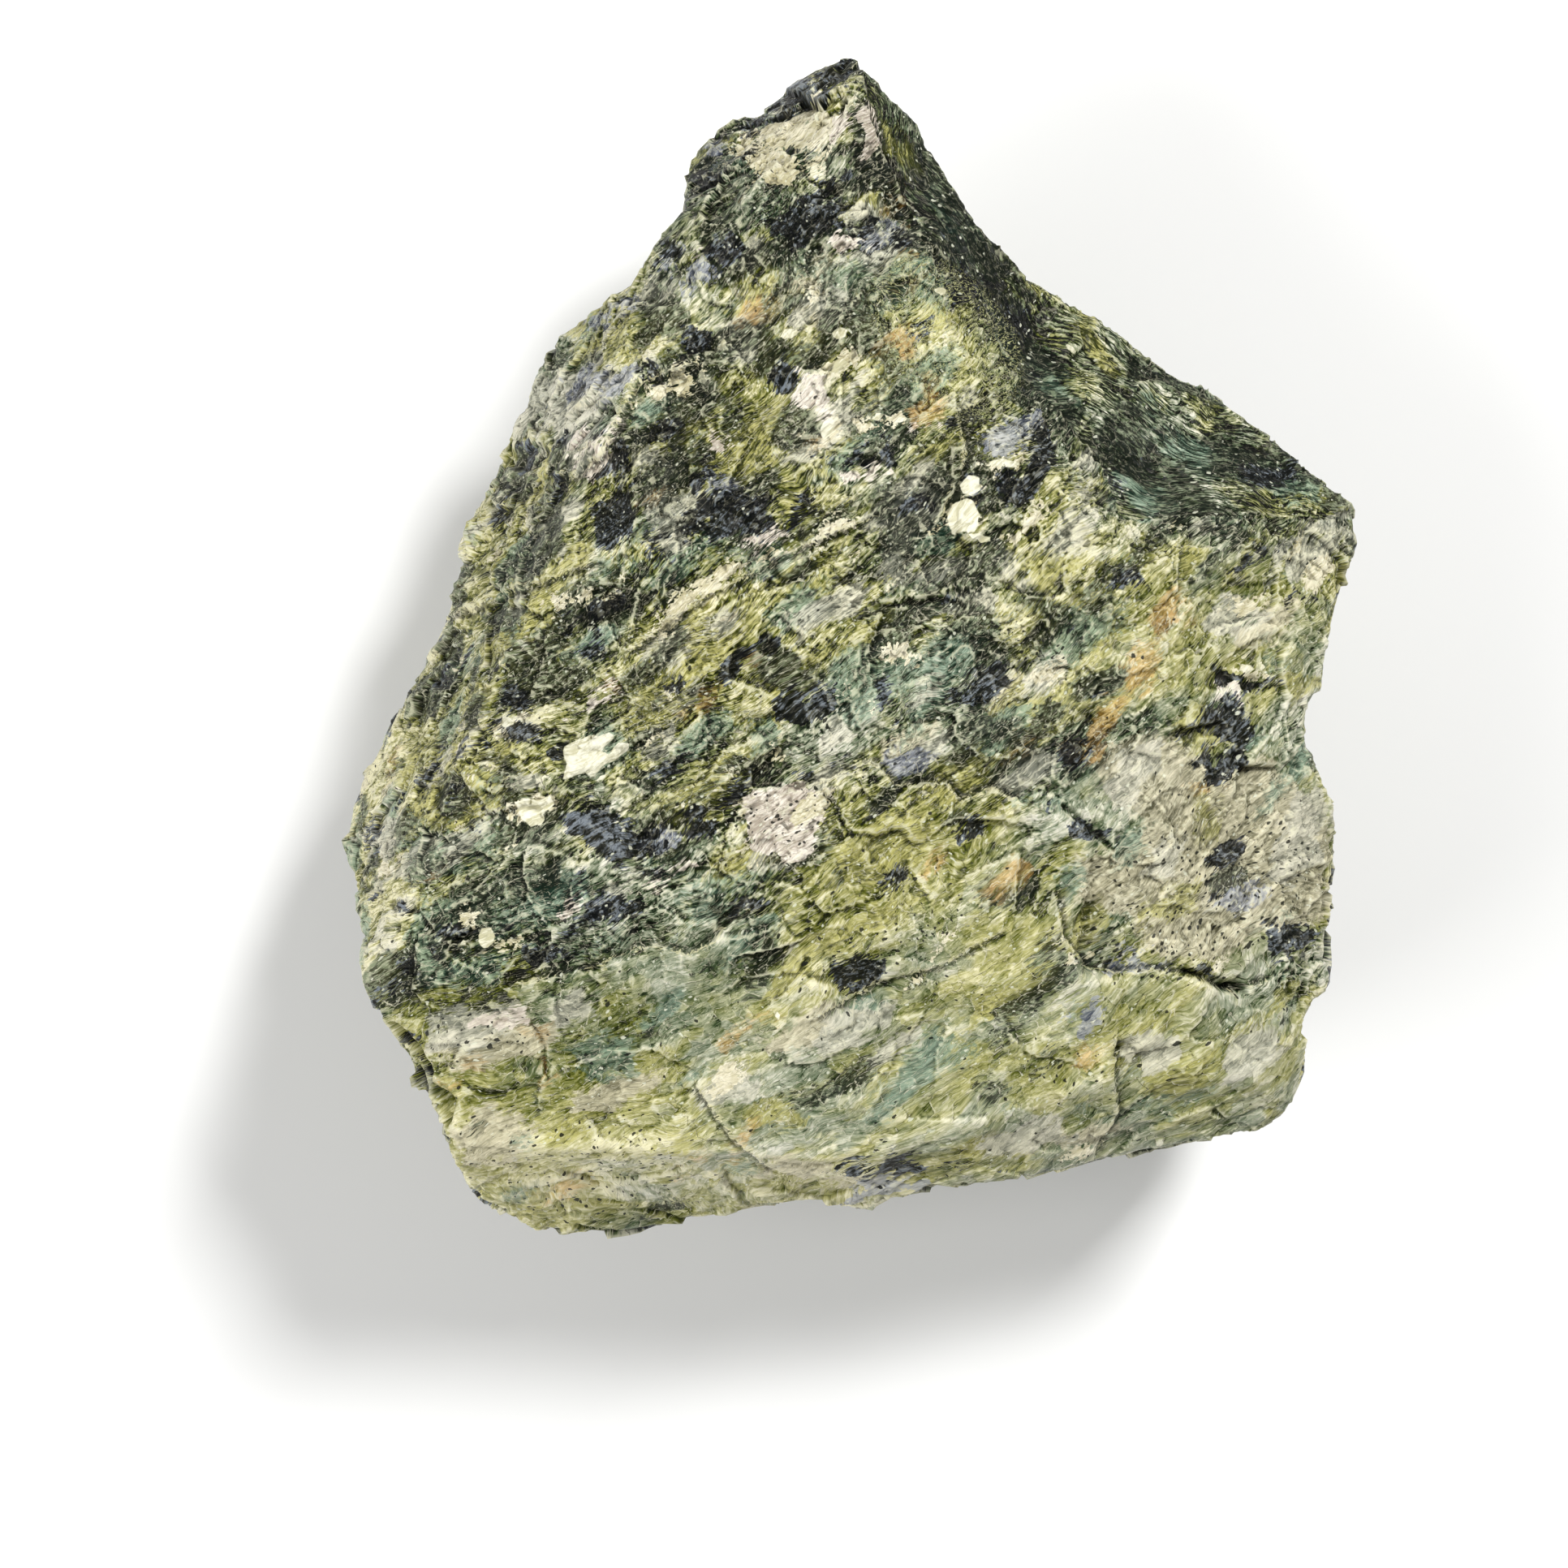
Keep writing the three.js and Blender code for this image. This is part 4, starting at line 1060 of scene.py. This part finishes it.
def stone_textures(s):
    """The fields, noise and cells that the stone's finish draws on, by name."""
    names = ("fibrous", "waxy", "edge", "crest", "paler", "warmer", "ledge", "ivory", "specks", "curly")
    t = types.SimpleNamespace(**{name: s.field(name) for name in names})
    on_slope = s.math("GREATER_THAN", t.fibrous, 0.5)
    grain = s.mix(on_slope, s.field("face_grain", "Vector"), s.field("slope_grain", "Vector"))
    t.grit, grits = s.waves(s.vector("MULTIPLY", grain, GRIT_WAVES), 0.62)
    t.grain = s.vector("ADD", grain, s.vector("MULTIPLY", s.from_middle(grits), GRIT_PUSH))
    t.streak, streaks = s.waves(s.vector("MULTIPLY", t.grain, STREAK_WAVES), 0.60)
    t.grit_a, t.grit_b, t.grit_c = s.parts(grits)
    t.streak_a, t.streak_b, t.streak_c = s.parts(streaks)
    plate_place = s.vector("MULTIPLY", t.grain, PLATE_CELLS)
    plate = s.cells(plate_place)
    t.plate_a, t.plate_b, t.plate_c = s.parts(plate["Color"])
    t.plate_lean = s.facet(plate_place, plate)
    t.plate_edge = s.cells(plate_place, "DISTANCE_TO_EDGE")["Distance"]
    chip_place = s.vector("MULTIPLY", t.grain, CHIP_CELLS)
    chip = s.cells(chip_place)
    t.chip_a, t.chip_b, t.chip_c = s.parts(chip["Color"])
    t.chip_lean = s.facet(chip_place, chip)
    t.lively = s.eased(t.waxy, -0.60)
    t.fine = fine_tone_with_relief_light(s, t)
    patch_tone = s.total(0.5, s.times(t.paler, 0.7), t.fine, s.swing(t.chip_c, 0.08))
    t.shade = s.rise(patch_tone, 0.05, 0.95)
    t.flecks = s.rise(s.total(patch_tone, s.swing(s.crisp(t.grit_c), 0.2)), 0.46, 1.10)
    return t


def fine_tone_with_relief_light(s, t):
    """How much paler or darker the fine fibres and plates are, with painted light and shade that follow the
    relief.
    """
    strokes = s.total(s.swing(s.crisp(t.streak), 0.18), s.swing(s.crisp(t.grit), 0.05))
    threads = s.total(strokes, s.swing(t.chip_a, 0.09))
    # The plates' own tone, with painted light that follows the relief: paler up each plate's and chip's lean,
    # on crests and on outward bends, and painted shade in hollows and creases
    plate_tone_and_relief_light = s.total(
        s.swing(t.plate_a, 0.11), s.times(t.plate_lean, 0.42), s.times(t.chip_lean, 0.30),
        s.times(t.edge, 0.05), s.times(t.crest, 0.08))
    threads = s.times(threads, s.eased(t.fibrous, 0.6), t.lively)
    return s.total(threads, s.times(plate_tone_and_relief_light, s.eased(t.waxy, -0.30)))


def green_with_relief_light(s, t):
    """The stone's own green, cool or warm, dark or pale, with the painted light and shade that follow the
    relief.
    """
    tone = s.total(0.54, t.paler, t.fine)
    warmth = s.total(0.58, t.warmer, s.swing(t.plate_b, 0.12), s.swing(t.streak_b, 0.06))
    return s.mix(s.rise(warmth, 0.15, 0.90), s.ramp(tone, COOL_TONES), s.ramp(tone, WARM_TONES))


def with_minerals(s, t, colour):
    """The patches of each mineral. Also says how fully the last of them, the black ones, cover."""
    for name, (dark, pale, fade, most, fray) in MINERAL_COLOURS.items():
        inside = s.total(
            s.field(name), s.swing(s.crisp(getattr(t, fray)), 0.30), s.swing(t.plate_c, 0.20),
            s.swing(t.chip_b, 0.22))
        share = s.times(s.rise(inside, -fade, fade), most)
        shade = t.flecks if name in ("black", "deep") else t.shade
        colour = s.mix(share, colour, s.mix(shade, dark, pale))
    return colour, share


def with_ledges(s, t, colour):
    """Painted highlights as pale broken rims along the ledges, and painted shade under them."""
    ledge = s.total(t.ledge, s.swing(t.grit_a, 0.9), s.swing(t.chip_b, 0.12))
    broken = s.rise(s.total(t.streak_a, s.swing(t.plate_b, 0.10)), 0.44, 0.54)
    # Painted highlight: pale broken rims on the high side of each ledge
    rim = s.times(s.rise(ledge, -0.05, 0.05), s.rise(ledge, 0.40, 0.18), broken)
    colour = s.laid(colour, rim, 0.70, PAINTED_LEDGE_HIGHLIGHT)
    # Painted shade on the low side, under each ledge
    under = s.times(s.rise(ledge, 0.0, -0.10), s.rise(ledge, -0.9, -0.25))
    return s.laid(colour, under, 0.70, PAINTED_LEDGE_SHADE)


def with_plate_edges(s, t, colour, bare):
    """Pale rims round some plates, and painted shade in the gaps round others."""
    rim = s.times(
        s.rise(t.plate_edge, 0.055, 0.015), s.rise(t.plate_c, 0.35, 0.75), s.rise(t.grit_b, 0.42, 0.56), bare)
    colour = s.laid(colour, rim, 0.62, PALE_PLATE_RIM)
    # Painted shade in the gaps round some plates
    gap = s.times(s.rise(t.plate_edge, 0.05, 0.01), s.rise(t.plate_c, 0.45, 0.05))
    return s.laid(colour, s.times(gap, s.rise(t.streak_c, 0.44, 0.56)), 0.65, PAINTED_PLATE_GAP_SHADE)


def with_bends(s, t, colour, bare):
    """Painted shade in the creases, and painted highlight on outward bends, where the mesh itself bends."""
    # Painted shade in the creases of the mesh
    crease_shade = s.rise(s.total(s.times(t.edge, -1.0), s.swing(t.grit_c, 0.8)), 0.6, 2.2)
    colour = s.laid(colour, s.times(crease_shade, t.lively), 0.62, PAINTED_CREASE_SHADE)
    # Painted highlight on outward bends of the mesh
    edge_highlight = s.rise(s.total(t.edge, s.swing(t.grit_c, 1.2)), 1.0, 2.6)
    return s.laid(colour, s.times(edge_highlight, bare), 0.50, PAINTED_EDGE_HIGHLIGHT)


def with_threads(s, t, colour, bare):
    """Pale hairs along the fibres, painted shade in the gaps between them, and pale hairs that curl."""
    hair = s.times(s.thread(t.streak_b, 0.030, 0.006), s.rise(t.grit_c, 0.44, 0.56), bare)
    colour = s.laid(colour, hair, 0.45, PALE_HAIR)
    # Painted shade in thin gaps between the fibres
    gap = s.times(s.thread(t.streak_c, 0.026, 0.006), s.rise(t.grit_b, 0.46, 0.58), t.lively)
    colour = s.laid(colour, gap, 0.60, PAINTED_FIBRE_GAP_SHADE)
    curl = s.times(s.thread(t.grit_a, 0.022, 0.008), s.rise(t.curly, -0.5, 1.0))
    return s.laid(colour, curl, 0.70, CURLED_HAIR)


def with_specks(s, t, colour):
    """Black specks, and pale crystal flecks that are partly painted glints. Also says where these flecks are.
    """
    speck = s.cells(s.vector("MULTIPLY", t.grain, SPECK_CELLS))
    kind, size, _ = s.parts(speck["Color"])
    dense = s.math("MULTIPLY_ADD", s.rise(t.specks, -1.5, 1.5), 0.62, 0.08)
    from_seed = s.total(speck["Distance"], s.swing(t.grit_a, 0.35))
    past_rim = s.math("SUBTRACT", from_seed, s.math("MULTIPLY_ADD", size, 0.24, 0.07))
    black = s.times(s.math("LESS_THAN", kind, dense), s.rise(past_rim, 0.05, 0.0))
    colour = s.laid(colour, black, 0.92, SPECK)
    # Pale crystal flecks, partly painted glints, a painted highlight
    fleck_and_painted_glint_shape = s.rise(s.total(speck["Distance"], s.swing(s.crisp(t.streak_a), 0.10)), 0.24, 0.14)
    fleck_and_painted_glint = s.times(s.math("GREATER_THAN", kind, 0.76), fleck_and_painted_glint_shape)
    return s.laid(colour, fleck_and_painted_glint, 0.70, PALE_FLECK_AND_PAINTED_GLINT), fleck_and_painted_glint


def fine_bump(s, t):
    """Normals of the finest relief: fibres, grit, and the lean of each plate and chip."""
    height = s.total(
        s.times(t.streak, 0.09), s.times(t.grit, 0.07), s.times(t.plate_lean, 0.36),
        s.times(t.chip_lean, 0.14), s.times(t.chip_a, 0.04))
    height = s.times(height, s.eased(t.waxy, -0.45))
    return s.node("ShaderNodeBump", {"Height": height, "Distance": MM, "Strength": 1.0}).outputs["Normal"]


def stone_material():
    """Mottled green stone: plates and fibres, minerals in patches, specks and pale rims, with painted shade
    in creases and gaps and painted highlights on ledges and bends.
    """
    s = Shading("serpentine_stone_finish")
    t = stone_textures(s)
    colour, cover = with_minerals(s, t, green_with_relief_light(s, t))
    bare = s.times(s.eased(cover, -0.8), s.eased(t.fibrous, -0.6))
    colour = with_ledges(s, t, colour)
    colour = with_plate_edges(s, t, colour, bare)
    colour = with_bends(s, t, colour, bare)
    colour = with_threads(s, t, colour, bare)
    colour, fleck_and_painted_glint = with_specks(s, t, colour)
    colour = s.laid(colour, s.rise(t.ivory, -0.06, 0.06), 0.97, s.mix(t.shade, DARK_IVORY, PALE_IVORY))
    rough = s.total(
        0.50, s.swing(t.chip_b, 0.10), s.swing(t.grit_b, 0.25), s.times(cover, -0.08), s.times(fleck_and_painted_glint, -0.2))
    return s.finish({
        "Base Color": colour, "Roughness": s.math("MAXIMUM", rough, 0.18), "Normal": fine_bump(s, t),
        "IOR": 1.56, "Specular IOR Level": 0.09})


def floor_material():
    """Plain pale card."""
    return Shading("plain_floor").finish({"Base Color": (0.83, 0.83, 0.82, 1.0), "Roughness": 0.9})


def make_floor():
    """A wide level floor at the height where the stone rests."""
    corners = [(x * FLOOR_REACH, y * FLOOR_REACH, 0) for x, y in ((-1, -1), (1, -1), (1, 1), (-1, 1))]
    mesh = bpy.data.meshes.new("floor")
    mesh.from_pydata(corners, [], [(0, 1, 2, 3)])
    mesh.materials.append(floor_material())
    floor = bpy.data.objects.new("floor", mesh)
    floor.location.z = -0.1 * MM
    bpy.context.scene.collection.objects.link(floor)


def make_light(name, place, size, power):
    """A square soft light at a place in metres, aimed at the stone."""
    data = bpy.data.lights.new(name, "AREA")
    data.shape = "SQUARE"
    data.size = size
    data.energy = power
    light = bpy.data.objects.new(name, data)
    light.location = place
    light.rotation_euler = (Vector((0, 0, 0.03)) - Vector(place)).to_track_quat("-Z", "Y").to_euler()
    bpy.context.scene.collection.objects.link(light)


def make_lights():
    """A soft key from the upper right, a weaker fill from the lower left, and a pale sky."""
    make_light("key", (0.36, 0.40, 0.74), 0.20, 8.2)
    make_light("fill", (-0.66, -0.28, 0.55), 0.6, 6.2)
    world = bpy.data.worlds.new("pale_sky")
    world.use_nodes = True
    sky = world.node_tree.nodes["Background"].inputs
    sky["Color"].default_value = (1.0, 1.0, 1.0, 1.0)
    sky["Strength"].default_value = 0.24
    bpy.context.scene.world = world


def make_camera():
    """The picture's camera, straight above the broad face."""
    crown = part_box(STONE_NODE)[1].z
    data = bpy.data.cameras.new("camera")
    data.sensor_width = SENSOR_WIDTH
    data.lens = SENSOR_WIDTH * PIXELS_PER_MM * CAMERA_ABOVE_CROWN / PICTURE_PIXELS
    camera = bpy.data.objects.new("camera", data)
    camera.location = (*(CAMERA_PLACE * MM), crown + CAMERA_ABOVE_CROWN * MM)
    bpy.context.scene.collection.objects.link(camera)
    bpy.context.scene.camera = camera


stone = build_stone(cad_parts[STONE_NODE])
stone.data.materials.clear()
stone.data.materials.append(stone_material())
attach(stone, "root")
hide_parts(STONE_NODE)
make_floor()
make_lights()
make_camera()
bpy.context.scene.view_settings.view_transform = "Standard"
